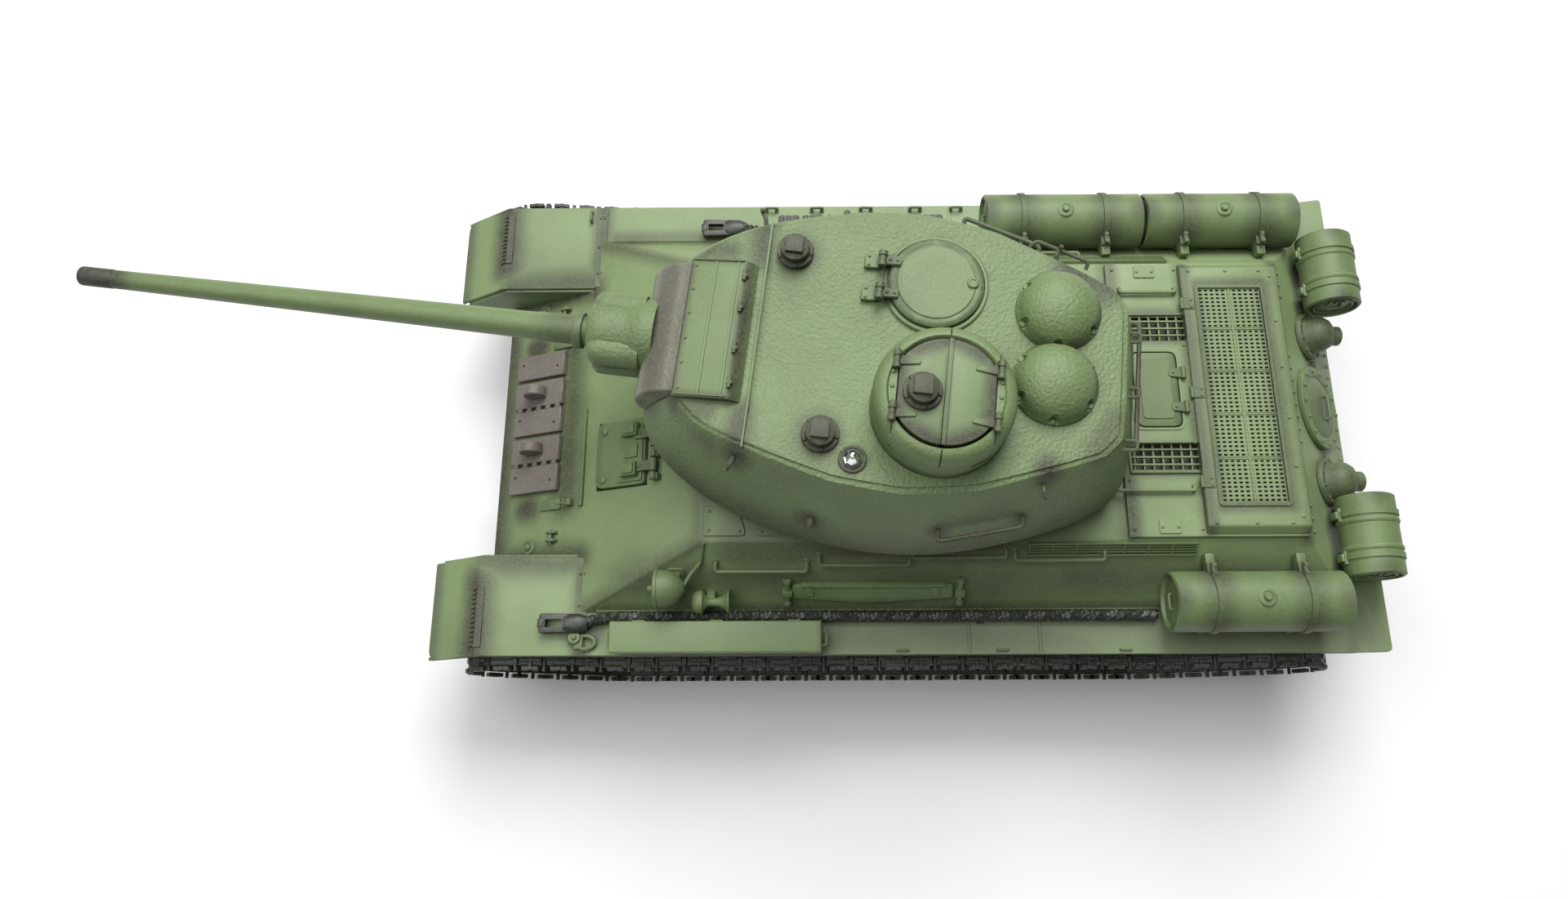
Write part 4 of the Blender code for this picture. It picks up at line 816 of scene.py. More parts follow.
cable_black = painted("cable_black", paint=(0.011, 0.012, 0.011, 1), mist=(0.03, 0.032, 0.028, 1),
                      base=0.15, gloss=0.1)
for side, s, x0, x1 in (("left", 1, 106.0, -46.0), ("right", -1, 66.0, 0.0)):
    z = FENDER + 2.15
    reach = x0 - x1
    route = [(x0 - 2.0, s * 56.9, z), (x0 - 10.6, s * 55.4, z)] + [(x0 - reach * t, s * y, z) for t,
             y in ((0.2, 55.2), (0.3, 55.1), (0.45, 55.2), (0.6, 55.3), (0.8, 55.2), (1.0, 55.3))]
    bm = strands(route, 1.6, 4.6, 6)
    socket = turned([(0, -0.6), (1.7, -0.6), (2.5, 1.4), (2.6, 4.6), (2.2, 5.6), (0, 5.6)], (0, 0, 0), "X",
                    24)
    add(bm, socket, Matrix.Translation((x0 - 3.6, s * 56.9, z)) @ Matrix.Scale(0.62, 4, (0, 0, 1)))
    eye = slab(rounded([(x0 + 0.8, s * 54.4), (x0 + 8.4, s * 54.2), (x0 + 8.4, s * 59.4),
               (x0 + 0.8, s * 59.2)], (0.4, 0.9, 0.9, 0.4)), "Z", z - 1.1, z + 0.9, 0.3)
    hole = slab(rounded([(x0 + 2.4, s * 55.8), (x0 + 6.8, s * 55.8), (x0 + 6.8, s * 57.9),
                (x0 + 2.4, s * 57.9)], (0.3,) * 4), "Z", z - 3, z + 3, 0)
    add(bm, carve(eye, [hole]))
    add(bm, block(x0 + 7.0, x0 + 8.8, s * 56.8 - 1.2, s * 56.8 + 1.2, z - 1.0, z + 1.1, 0.4))
    for t in (0.35, 0.7):
        x = x0 - reach * t
        add(bm, block(x - 0.8, x + 0.8, s * 55.2 - 2.0, s * 55.2 + 2.0, FENDER, FENDER + 0.5, 0.1, 1))
    piece("tow_rope_" + side, settle(bm), "hull", cable_black, replaces=["tow_cable_" + side])

# ---- Fuel drums and smoke canisters ----
# Thin round drums with rolled beads, recessed ends, a filler cap and a seam; steel straps with
# tension bolts hold them to brackets on the side plates, and the canisters to the rear plate.
def drum_shape(r, low, high, beads, cap_at=None):
    """Drum along its own X axis about the origin."""
    prof = [(0, low + 1.0), (r * 0.25, low + 1.0), (r * 0.28, low + 0.8), (r - 1.9, low + 0.8),
            (r - 1.3, low + 1.0), (r - 1.0, low + 0.1), (r - 0.5, low), (r, low + 0.4), (r, low + 1.0)]
    for x in beads:
        prof += [(r, x - 0.8), (r + 0.3, x - 0.45), (r + 0.36, x), (r + 0.3, x + 0.45), (r, x + 0.8)]
    prof += [(r, high - 1.0), (r, high - 0.4), (r - 0.5, high), (r - 1.0, high - 0.1),
             (r - 1.3, high - 1.0), (r - 1.9, high - 0.8), (r * 0.28, high - 0.8), (r * 0.25, high - 1.0),
             (0, high - 1.0)]
    bm = turned(prof, (0, 0, 0), "X", 56)
    for end, out in ((low, -1), (high, 1)):
        add(bm, pipe([(end - out * 0.9, -1.9, 0.2), (end - out * 0.1, -1.9, 0.2), (end - out * 0.1, 1.9, 0.2),
                      (end - out * 0.9, 1.9, 0.2)], 0.35, 0.5))
    if cap_at is not None:
        cap = turned([(2.3, -0.6), (2.3, 0.25), (2.1, 0.4), (1.5, 0.4), (1.4, 0.2), (1.0, 0.2), (0.95, 0.8),
                     (0.7, 1.0), (0, 1.0)], steps=20)
        add(bm, cap, Matrix.Translation((cap_at, 0, 0)) @ Matrix.Translation((0, 0, r - 0.15)))
    return bm


def strap(r, x, wide=1.7):
    """Flat band round a drum."""
    bm = turned([(r + 0.05, x - wide / 2), (r + 0.42, x - wide / 2 + 0.1), (r + 0.42, x + wide / 2 - 0.1),
                (r + 0.05, x + wide / 2)], (0, 0, 0), "X", 56)
    return bm


for name, s, x0, x1 in (("fuel_drum_left", 1, -90.6, -46.6), ("fuel_drum_right_front", -1, -48.8, -5.2),
                        ("fuel_drum_right_rear", -1, -91.6, -49.6)):
    mid = (x0 + x1) / 2
    straps = (x0 + 10.5, x1 - 10.5)
    mist = [((x0, s * 53.3, 65), (x0, s * 53.3, 65), 7, 0.55),
            ((x1, s * 53.3, 65), (x1, s * 53.3, 65), 7, 0.55),
            ((x0, s * 46, 57), (x1, s * 46, 57), 5, 0.45), ((x0, s * 61, 57), (x1, s * 61, 57), 4, 0.4)]
    for x in straps:
        mist.append(((x, s * 47, 62), (x, s * 60, 62), 8, 0.6))
    at = Matrix.Translation((0, s * 53.3, 57.6))
    bm = add(bmesh.new(), drum_shape(7.6, x0, x1, [], mid), at)
    for x in straps:
        add(bm, strap(7.6, x), at)
        add(bm, block(x - 1.1, x + 1.1, min(s * 52.6, s * 60.2), max(s * 52.6, s * 60.2), FENDER,
            FENDER + 3.6, 0.3))
        add(bm, block(x - 1.3, x + 1.3, s * 45.8 - 1.6, s * 45.8 + 1.6, 60.6, 61.6, 0.25, 1))
        for y in (44.8, 46.8):
            add(bm, turned([(0, -0.5), (0.55, -0.5), (0.55, 1.6), (0, 1.6)], (x, s * y, 61.6), steps=10))
        add(bm, pipe([(x, s * 44.2, 62.4), (x, s * 47.8, 62.4)], 0.7, 0.3))
        add(bm, block(x - 1.2, x + 1.2, min(s * 41.6, s * 46.2), max(s * 41.6, s * 46.2), 57.4, 60.8, 0.3))
    add(bm, block(x0 + 2, x1 - 2, -0.22 + s * 53.3, 0.22 + s * 53.3, 65.0 - 7.6 * 2 - 0.1, 50.2, 0.05, 1))
    piece(name.replace("fuel_drum", "drum"), settle(bm), "hull", painted(name + "_green", mist, base=0.03),
          replaces=[name])

for side, s in (("left", 1), ("right", -1)):
    y0, y1 = sorted((s * 26.6, s * 47.4))
    mid = (y0 + y1) / 2
    mist = [((-99.8, y0, 64), (-99.8, y0, 64), 5, 0.4), ((-99.8, y1, 64), (-99.8, y1, 64), 6, 0.6),
            ((-94, y0, 57), (-94, y1, 57), 4, 0.4), ((-107, y0, 57), (-107, y1, 57), 4, 0.5)]
    spin_y = Matrix.Translation((-99.8, 0, 57.6)) @ Matrix.Rotation(math.pi / 2, 4, "Z")
    bm = add(bmesh.new(), drum_shape(7.2, y0, y1, [mid - 3.5, mid + 3.5]), spin_y)
    ring = turned([(5.2, y1 - 0.9), (5.2, y1 - 0.35), (4.9, y1 - 0.2), (4.6, y1 - 0.35), (4.6, y1 - 0.9)],
                  (-99.8, 0, 57.6), "Y", 32)
    add(bm, ring)
    for dx in (-1.6, 0, 1.6):
        add(bm, block(-99.8 + dx - 0.4, -99.8 + dx + 0.4, y1 - 1.0, y1 - 0.3, 57.6 + 1.4, 57.6 + 3.6, 0.1, 1))
    for y in (s * 31.5, s * 42.5):
        band = turned([(7.25, y - 0.8), (7.58, y - 0.7), (7.58, y + 0.7), (7.25, y + 0.8)],
                      (-99.8, 0, 57.6), "Y", 56)
        add(bm, band)
        add(bm, slab([(-95.4, rear(-95.4)), (-99.2, rear(-99.2)), (-98.6, 53.0), (-94.0, 54.6)], "Y",
            y - 1.0, y + 1.0, 0.2, 1))
        add(bm, block(-94.2, -91.4, y - 1.0, y + 1.0, 55.6, 58.6, 0.3))
        add(bm, pipe([(-92.6, y - 1.7, 58.4), (-92.6, y + 1.7, 58.4)], 0.65, 0.3))
    piece("canister_" + side, settle(bm), "hull", painted("canister_green_" + side, mist, base=0.03),
          replaces=["smoke_canister_" + side])

# ---- Engine deck ----
# A flat raised plate with a step-edged cowl over the radiators: woven-look mesh panels, louvred
# air outlets beside a hinged inspection hatch, small hinge straps and two wire grips.
DECK = ROOF + 0.3
deck_mist = [((-57, -37, 64), (-57, 37, 64), 4, 0.6), ((-60, -30, 65), (-60, 30, 65), 3, 0.45),
             ((-78, -30, 65), (-78, 30, 65), 4, 0.5), ((-82.6, -37, 63), (-82.6, 37, 63), 4, 0.5),
             ((-78, -31, 65), (-60, -31, 65), 3, 0.5), ((-78, 30.5, 65), (-60, 30.5, 65), 3, 0.5),
             ((-38, -37, 63), (-38, 37, 63), 4, 0.55), ((-55, -23, 63), (-39, -23, 63), 3, 0.4),
             ((-55, 21, 63), (-38, 21, 63), 3, 0.4), ((-56, -15, 64), (-39, -15, 64), 3, 0.45),
             ((-56, 15, 64), (-39, 15, 64), 3, 0.45)]
deck_green = painted("deck_green", deck_mist, paint=(0.19, 0.255, 0.115, 1))
deck = block(-82.6, -36.8, -37.8, 37.8, DECK, DECK + 1.2, 0.3)
cowl = slab([(-37.6, DECK + 0.9), (-35.4, DECK + 3.2), (35.4, DECK + 3.2), (37.6, DECK + 0.9)], "X", -82.4,
            -56.2, 0.5, 3)
centre = slab([(-56.5, DECK + 0.9), (-38.4, DECK + 0.9), (-39.4, DECK + 2.6), (-56.5, DECK + 2.6)], "Y",
              -14.6, 14.6, 0.4)
deck = carve(deck, [cowl, centre], "UNION")
cuts = [slab(rounded([(-52.9, -11.5), (-40.9, -11.5), (-40.9, 9.5), (-52.9, 9.5)], (2.2,) * 4), "Z",
        DECK - 1, DECK + 5, 0), block(-77.6, -60.0, -29.9, 29.9, DECK + 0.4, DECK + 6, 0),
        block(-56.4, -38.4, -21.9, -15.1, DECK - 1, DECK + 5, 0),
        block(-56.4, -38.4, 13.5, 20.3, DECK - 1, DECK + 5, 0)]
deck = carve(deck, cuts)
rim = slab(rounded([(-53.6, -12.2), (-40.2, -12.2), (-40.2, 10.2), (-53.6, 10.2)], (2.6,) * 4), "Z",
           DECK + 2.5, DECK + 2.85, 0.12, 1)
add(deck, carve(rim, [slab(rounded([(-52.9, -11.5), (-40.9, -11.5), (-40.9, 9.5), (-52.9, 9.5)],
    (2.2,) * 4), "Z", DECK, DECK + 5, 0)]))
frame_bar = slab(rounded([(-78.2, -30.5), (-59.4, -30.5), (-59.4, 30.5), (-78.2, 30.5)], (1.4,) * 4), "Z",
                 DECK + 3.1, DECK + 3.6, 0.15, 1)
add(deck, carve(frame_bar, [slab(rounded([(-77.2, -29.5), (-60.4, -29.5), (-60.4, 29.5), (-77.2, 29.5)],
    (0.6,) * 4), "Z", DECK, DECK + 6, 0)]))
for y0, y1 in ((-22.6, -14.6), (13.0, 21.0)):
    for x in (-56.8, -38.6):
        add(deck, block(x - 0.35, x + 0.35, y0, y1, DECK + 0.6, DECK + 1.9, 0.1, 1))
    for y in (y0, y1):
        add(deck, block(-57.0, -38.3, y - 0.35, y + 0.35, DECK + 0.6, DECK + 1.9, 0.1, 1))
    for k in range(3):
        y = y0 + (k + 1) * (y1 - y0) / 4
        add(deck, block(-56.6, -38.6, y - 0.25, y + 0.25, DECK + 0.7, DECK + 1.6, 0.08, 1))
    for k in range(7):
        x = -54.9 + k * 2.45
        vane = block(-0.25, 0.25, y0 + 0.3, y1 - 0.3, -0.9, 0.9, 0.08, 1)
        add(deck, vane, Matrix.Translation((x, 0, DECK + 0.5)) @ Matrix.Rotation(math.radians(28), 4, "Y"))
for y in (-25.0, 0.0, 24.0):
    x = -57.2
    add(deck, slab(rounded([(x - 2.0, y - 1.6), (x + 1.4, y - 1.6), (x + 1.4, y + 1.6), (x - 2.0, y + 1.6)],
        (0.5,) * 4), "Z", DECK + 3.0, DECK + 3.55, 0.12, 1))
    add(deck, pipe([(x + 1.2, y - 1.5, DECK + 3.2), (x + 1.2, y + 1.5, DECK + 3.2)], 0.55, 0.2))
    for dy in (-0.9, 0.9):
        add(deck, stud(0.4, 0.35, 8), Matrix.Translation((x - 1.1, y + dy, DECK + 3.5)))
for x, y in ((-80.3, -33.0), (-80.3, -20), (-80.3, -7), (-80.3, 7), (-80.3, 20), (-80.3, 33),
             (-58.4, -34.6), (-68.5, -34.6), (-68.5, 34.6), (-58.4, 34.6), (-77.5, -34.6), (-77.5, 34.6)):
    add(deck, stud(0.5, 0.4, 8), Matrix.Translation((x, y, DECK + 3.15)))
for x, y in ((-55.4, -35.8), (-38.6, -35.8), (-46.8, -35.8), (-55.4, 35.8), (-38.2, 35.8), (-46.8, 35.8),
             (-38.0, -24.6), (-38.0, 23.0), (-55.4, -13.4), (-55.4, 13.4)):
    add(deck, stud(0.45, 0.4, 8), Matrix.Translation((x, y, DECK + (2.55 if abs(y) < 14 else 1.15))))
for x0, x1, y in ((-54.8, -40.4, -29.4), (-54.2, -34.6, 25.4)):
    lift = DECK + 1.1
    add(deck, pipe([(x0, y - 0.9, lift - 0.4), (x0, y - 0.6, lift + 1.0), (x0, y + 0.6, lift + 1.3),
        (max(x1, -40), y + 0.6, lift + 1.3), (max(x1, -40), y - 0.6, lift + 1.0),
        (max(x1, -40), y - 0.9, lift - 0.4)], 0.5, 0.9))
for y in (-35.2, 35.2):
    add(deck, slab(rounded([(-50.0, y - 1.8), (-44.4, y - 1.8), (-44.4, y + 1.8), (-50.0, y + 1.8)],
        (0.6,) * 4), "Z", DECK + 1.1, DECK + 1.6, 0.1, 1))
    for x in (-49.2, -45.2):
        add(deck, stud(0.45, 0.4, 8), Matrix.Translation((x, y, DECK + 1.55)))
piece("deck_plate", deck, "hull", deck_green, replaces=["engine_deck"])

bm = bmesh.new()
for k in range(5):
    y0 = -29.4 + k * 11.86
    net = bmesh.new()
    bmesh.ops.create_grid(net, x_segments=11, y_segments=10, size=0.5)
    bmesh.ops.scale(net, vec=(16.6, 11.3, 1), verts=net.verts)
    bmesh.ops.translate(net, vec=(-68.8, y0 + 5.65, DECK + 3.0), verts=net.verts)
    cells = bmesh.ops.inset_individual(net, faces=net.faces[:], thickness=0.3, depth=0, use_even_offset=True)
    hole = [f for f in net.faces if f not in set(cells["faces"])]
    bmesh.ops.delete(net, geom=hole, context="FACES")
    bmesh.ops.recalc_face_normals(net, faces=net.faces)
    bmesh.ops.solidify(net, geom=net.faces[:], thickness=0.4)
    bmesh.ops.recalc_face_normals(net, faces=net.faces)
    add(bm, net)
    add(bm, block(-77.4, -60.2, y0 - 0.36, y0 + 0.06, DECK + 2.3, DECK + 3.25, 0.08, 1))
add(bm, block(-69.1, -68.5, -29.6, 29.6, DECK + 2.5, DECK + 3.2, 0.1, 1))
piece("radiator_mesh", bm, "hull", deck_green)
# Dark sheets under the radiator mesh and the louvres are painted shade in the openings.
piece("radiator_shadow", block(-77.5, -60.1, -29.8, 29.8, DECK + 0.35, DECK + 0.75, 0), "hull", dark)
vent_floor = block(-56.3, -38.5, -21.8, -15.2, DECK - 0.8, DECK - 0.5, 0)
add(vent_floor, block(-56.3, -38.5, 13.6, 20.2, DECK - 0.8, DECK - 0.5, 0))
piece("louvre_shadow", vent_floor, "hull", dark)

bm = slab(rounded([(-52.6, -11.2), (-41.2, -11.2), (-41.2, 9.2), (-52.6, 9.2)], (2.0,) * 4), "Z",
          DECK + 1.0, DECK + 3.0, 0.35)
add(bm, slab(rounded([(-50.9, -9.2), (-42.6, -9.2), (-42.6, 7.2), (-50.9, 7.2)], (1.2,) * 4), "Z",
    DECK + 2.9, DECK + 3.25, 0.15, 1))
for y in (-5.4, 4.0):
    add(bm, turned([(0, -1.6), (0.6, -1.6), (0.75, -1.45), (0.75, 1.45), (0.6, 1.6), (0, 1.6)],
        (-54.1, y, DECK + 3.3), "Y", 14))
    add(bm, slab(rounded([(-54.1, y - 1.5), (-50.2, y - 1.0), (-50.2, y + 1.0), (-54.1, y + 1.5)],
        (0, 0.7, 0.7, 0)), "Z", DECK + 2.9, DECK + 3.5, 0.12, 1))
    add(bm, stud(0.4, 0.35, 8), Matrix.Translation((-51.4, y, DECK + 3.45)))
add(bm, stud(0.7, 0.5, 14), Matrix.Translation((-42.0, -1.0, DECK + 2.95)))
piece("engine_hatch_lid", bm, "engine_hatch", painted("hatch_lid_green",
      [((-53, -11, 64), (-53, 9, 64), 4, 0.5)], base=0.05), replaces=["engine_hatch"])

# ---- Rear plate ----
# Sloped plate bolted on along its edges, with a round bolted transmission cover, two cast exhaust
# cowls on round flanges, and short pipes poking out of them.
ON_REAR = Matrix.Translation((-94.4, 0, rear(-94.4))) @ Matrix.Rotation(REAR, 4, "Y")
rear_green = painted("rear_green", [((-94, 0, 50), (-94, 0, 50), 15, 0.35),
                     ((-86, -14, 58), (-86, 14, 58), 4, 0.4)], base=0.05)
bm = turned([(0, 0.3), (11.6, 0.3), (11.6, 1.2), (11.3, 1.5), (9.0, 1.5), (8.7, 1.25), (8.3, 1.25),
            (8.0, 1.5), (5.2, 1.9), (0, 2.1)], steps=56)
for k in range(14):
    a = k * math.tau / 14
    add(bm, stud(0.55, 0.6, 6), Matrix.Translation((10.2 * math.cos(a), 10.2 * math.sin(a), 1.45)))
add(bm, pipe([(-1.2, -3.2, 1.8), (-1.2, -3.2, 3.2), (-1.2, 3.2, 3.2), (-1.2, 3.2, 1.8)], 0.5, 0.7))
piece("transmission_cover", add(bmesh.new(), bm, ON_REAR), "hull", rear_green, replaces=["rear_hatch"])

bm = bmesh.new()
for x in (13.4, -13.2):
    for k in range(22):
        y = -36.0 + k * 72 / 21
        if not (x < 0 and abs(y) < 3) and not (x > 0 and 15 < abs(y) < 27):
            add(bm, stud(0.5, 0.42, 6), Matrix.Translation((x, y, 0)))
for y in (-34.5, 34.5):
    add(bm, slab(rounded([(-15, -1.4), (-12, -1.4), (-12, 1.4), (-15, 1.4)], (0.5,) * 4), "Z", -0.1, 1.4,
        0.2, 1), Matrix.Translation((4, y, 0)))
for y in (-13.6, 13.6, -28.4, 28.4):
    add(bm, stud(0.9, 0.8, 6), Matrix.Translation((-3.0, y, 0)))
for y in (-29.6, 29.6):
    add(bm, block(-9.6, -4.4, y - 1.0, y + 1.0, -0.1, 2.2, 0.3))
    add(bm, turned([(0.9, -0.6), (1.7, -0.6), (1.9, 0), (1.7, 0.6), (0.9, 0.6)], (-7.0, y, 2.6), "Y", 18))
piece("rear_plate_bolts", add(bmesh.new(), bm, ON_REAR), "hull", hull_green)

exhaust_paint = painted("exhaust_paint", base=0.45)
for side, s in (("left", 1), ("right", -1)):
    bm = turned([(0, 0.3), (6.6, 0.3), (6.6, 1.2), (6.3, 1.6), (5.2, 1.7), (4.9, 2.6), (4.8, 4.2),
                (4.3, 5.8), (3.2, 7.0), (1.6, 7.7), (0, 7.9)], steps=36)
    for k in range(10):
        a = (k + 0.5) * math.tau / 10
        add(bm, stud(0.5, 0.5, 6), Matrix.Translation((5.9 * math.cos(a), 5.9 * math.sin(a), 1.5)))
    spout = turned([(0, 0), (2.6, 0), (2.7, 5.2), (2.4, 5.5), (2.1, 5.2), (2.0, 3.0), (0, 3.0)], steps=24)
    add(bm, spout, Matrix.Translation((-1.4, 0, 3.4)) @ Matrix.Rotation(math.radians(-50), 4, "Y"))
    piece("exhaust_cowl_" + side, add(bmesh.new(), bm, Matrix.Translation((0, s * 20.8, 0)) @ ON_REAR),
          "hull", exhaust_paint, replaces=["exhaust_" + side])

# ---- Turret casting ----
# One cast-look shell with thick rounded flanks and a flat roof plate welded in; the leathery
# casting grain is moulded in. Its front is open between two cheeks for the gun mantlet.
TURRET_ROOF = 96.3
low_half = [(73, 9), (72, 17.5), (66, 27), (54, 35), (43, 40), (22, 44.5), (5, 45), (-12, 42.5),
            (-34, 34.5), (-47.5, 27), (-51.6, 18.5), (-52.0, 8)]
top_half = [(63, 9), (62.5, 16.5), (57, 23), (50, 26.2), (43, 29), (22, 34.6), (5, 35.8), (-12, 33),
            (-32, 25.0), (-40.5, 21.2), (-44.4, 16.5), (-44.6, 6)]


def roof_z(x):
    return TURRET_ROOF - max(0.0, x - 43.0) * 0.155


def wall_ring(bm, t, inset, zed):
    """Closed loop of edges part way from the lower outline (0) to the roof outline (1)."""
    half = []
    for (xa, ya), (xb, yb) in zip(low_half, top_half):
        x, y = xa + (xb - xa) * t, ya + (yb - ya) * t
        k = 1 - inset / math.hypot(x - 5, y)
        half.append((5 + (x - 5) * k, y * k))
    ring = [bm.verts.new((x, y, zed(x))) for x, y in half + [(x, -y) for x, y in reversed(half)]]
    return [bm.edges.new((ring[i], ring[(i + 1) % len(ring)])) for i in range(len(ring))]


# The first two lines, along the left flank, are painted shade on the side turned from the key light; the rest
# is airbrush mist round seams and fittings.
turret_mist_and_shade = [((60, 30, 70), (10, 45, 70), 14, 0.5), ((10, 45, 70), (-44, 30, 70), 14, 0.4),
               ((63, 9, 92), (50, 25, 90), 7, 0.45), ((44, -28, 96), (44, -19, 96), 6, 0.65),
               ((44, 19, 96), (44, 28, 96), 6, 0.65), ((62, -14, 95), (62, -20, 93), 6, 0.7),
               ((62, 14, 95), (62, 20, 93), 6, 0.7), ((52, -20.5, 96), (60, -20.5, 95), 5, 0.6),
               ((52, 20.5, 96), (60, 20.5, 95), 5, 0.6), ((36.2, -21.1, 96), (36.2, -21.1, 96), 9, 0.75),
               ((25.1, 23.6, 96), (25.1, 23.6, 96), 9, 0.7), ((17.2, 28.6, 96), (17.2, 28.6, 96), 6, 0.55),
               ((-38, -20, 96), (-30, -24, 96), 8, 0.65), ((-38, 20, 96), (-42, 12, 96), 6, 0.5),
               ((-27.3, -13.2, 97), (-27.3, 5.2, 97), 15, 0.35),
               ((44.4, 31.4, 93), (44.4, 31.4, 93), 7, 0.8), ((26, 42, 80), (26, 42, 80), 7, 0.8),
               ((-26.9, 25.4, 95), (-26.9, 25.4, 93), 6, 0.8), ((-4.8, 40, 82), (-4.8, 40, 82), 5, 0.7),
               ((-24, 35, 82), (-24, 35, 82), 5, 0.7), ((2, -28, 96), (-9, -20, 96), 4, 0.35),
               ((70, 10, 78), (70, 18, 84), 9, 0.5), ((70, -10, 78), (70, -18, 84), 9, 0.5),
               ((-50, -14, 84), (-50, 14, 84), 7, 0.4)]
turret_green = painted("turret_green", turret_mist_and_shade, TURRET, casting=1.0)
bm = bmesh.new()
rings = [wall_ring(bm, 0, 7.0, lambda x: 66.3), wall_ring(bm, 0, 2.4, lambda x: 66.5),
         wall_ring(bm, 0, 0.3, lambda x: 68.6), wall_ring(bm, 0.06, -0.2, lambda x: 71.5),
         wall_ring(bm, 0.5, -0.9, lambda x: 83.0), wall_ring(bm, 0.86, -0.2, lambda x: roof_z(x) - 4.2),
         wall_ring(bm, 0.95, 0.0, lambda x: roof_z(x) - 2.0),
         wall_ring(bm, 1, 0.5, lambda x: roof_z(x) - 0.75),
         wall_ring(bm, 1, 1.7, lambda x: roof_z(x) - 0.55),
         wall_ring(bm, 1, 2.0, lambda x: roof_z(x) - 0.05), wall_ring(bm, 1, 3.2, roof_z)]
for a, b in zip(rings, rings[1:]):
    bmesh.ops.bridge_loops(bm, edges=a + b)
bmesh.ops.contextual_create(bm, geom=rings[0])
bmesh.ops.contextual_create(bm, geom=rings[-1])
bmesh.ops.recalc_face_normals(bm, faces=bm.faces)
mesh = bpy.data.meshes.new("casting")
bm.to_mesh(mesh)
bm.free()
form = bpy.data.objects.new("casting", mesh)
bpy.context.scene.collection.objects.link(form)
crease = mesh.attributes.new("crease_edge", "FLOAT", "EDGE")
for edge in mesh.edges:
    za, zb = (mesh.vertices[i].co.z for i in edge.vertices)
    xa = (mesh.vertices[edge.vertices[0]].co.x + mesh.vertices[edge.vertices[1]].co.x) / 2
    if min(za, zb) > roof_z(xa) - 0.9 and abs(za - zb) < 0.5:
        crease.data[edge.index].value = 0.75
    elif max(za, zb) < 66.4:
        crease.data[edge.index].value = 0.6
smooth = form.modifiers.new("smooth", "SUBSURF")
smooth.levels = smooth.render_levels = 2
done = bpy.data.meshes.new_from_object(form.evaluated_get(bpy.context.evaluated_depsgraph_get()))
shell = bmesh.new()
shell.from_mesh(done)
bpy.data.objects.remove(form)
collar = turned([(0, ROOF + 0.6), (35.5, ROOF + 0.6), (35.8, ROOF + 2.0), (35.2, 67.5), (0, 67.5)], steps=72)
shell = carve(shell, [collar], "UNION")
inner = hull_of([(x, y, z) for x in (-38, 44) for y in (-20, 20) for z in (70, 92.6)]
                + [(5, -34, 70), (5, 34, 70), (5, -28, 92.6), (5, 28, 92.6)])
shell = carve(shell, [inner, turned([(0, 60), (31.0, 60), (31.0, 71.0), (0, 71.0)], steps=64),
              block(46.3, 85.0, -17.0, 17.0, 68.6, 99.0, 0), block(40.0, 50.0, -16.8, 16.8, 69.5, 92.0, 0),
              turned([(0, 90), (12.6, 90), (12.6, 99), (0, 99)], (-1.6, 14.4, 0), steps=56), turned([(0,
              90), (10.3, 90), (10.3, 99), (0, 99)], (2.0, -16.6, 0), steps=48)])
piece("turret_casting", shell, "turret", turret_green, TURRET, ["turret_shell"], 40)

# ---- Turret roof fittings ----
# Welded roof seam, the bolted cover over the mantlet with two stiffening ribs and hinge pins, two
# fan domes on notched flanges, the bright reflector cone, handrails, lifting hooks and stowage loops.
bm = bmesh.new()
add(bm, block(42.3, 42.9, -28.6, 28.6, 96.0, 96.5, 0.12, 1))
cover = slab([(44.6, 95.2), (46.6, 96.6), (47.6, 97.0), (60.4, 95.1), (60.9, 94.5), (60.4, 93.8)], "Y",
             -17.2, 17.8, 0.15)
add(bm, cover)
for x, wide in ((49.2, 0.35), (54.6, 0.35)):
    z = 97.0 - (x - 47.6) * 0.148
    add(bm, slab([(x - wide, z - 0.5), (x - wide, z + 0.28), (x + wide, z + 0.24), (x + wide, z - 0.5)],
        "Y", -16.8, 17.4, 0.1, 1))
for y in (-17.2, 17.2):
    add(bm, slab([(47.8, 96.6), (47.8, 97.35), (60.2, 95.5), (60.2, 94.7)], "Y", y - 0.3, y + 0.3, 0.1, 1))
for y in (-13.4, -5.2, 5.2, 13.8):
    add(bm, turned([(0, -1.3), (0.5, -1.3), (0.5, 1.3), (0, 1.3)], (47.4, y, 97.3), "Y", 10))
    add(bm, block(46.6, 48.0, y - 0.5, y + 0.5, 96.5, 97.7, 0.15, 1))
for y in (-15.6, -9.4, -3.2, 3.2, 9.4, 15.8):
    add(bm, stud(0.4, 0.35, 8), Matrix.Translation((59.4, y, 95.2)))
piece("mantlet_cover_plate", bm, "turret", painted("cover_green", [((61.5, -18, 95), (61.5, 18, 95), 3.0,
      0.7), ((46, -18, 97), (46, 18, 97), 3.5, 0.75), ((46, -18, 97), (61, -18, 95), 3, 0.55),
      ((46, 18, 97), (61, 18, 95), 3, 0.55)], TURRET, base=0.02), TURRET)

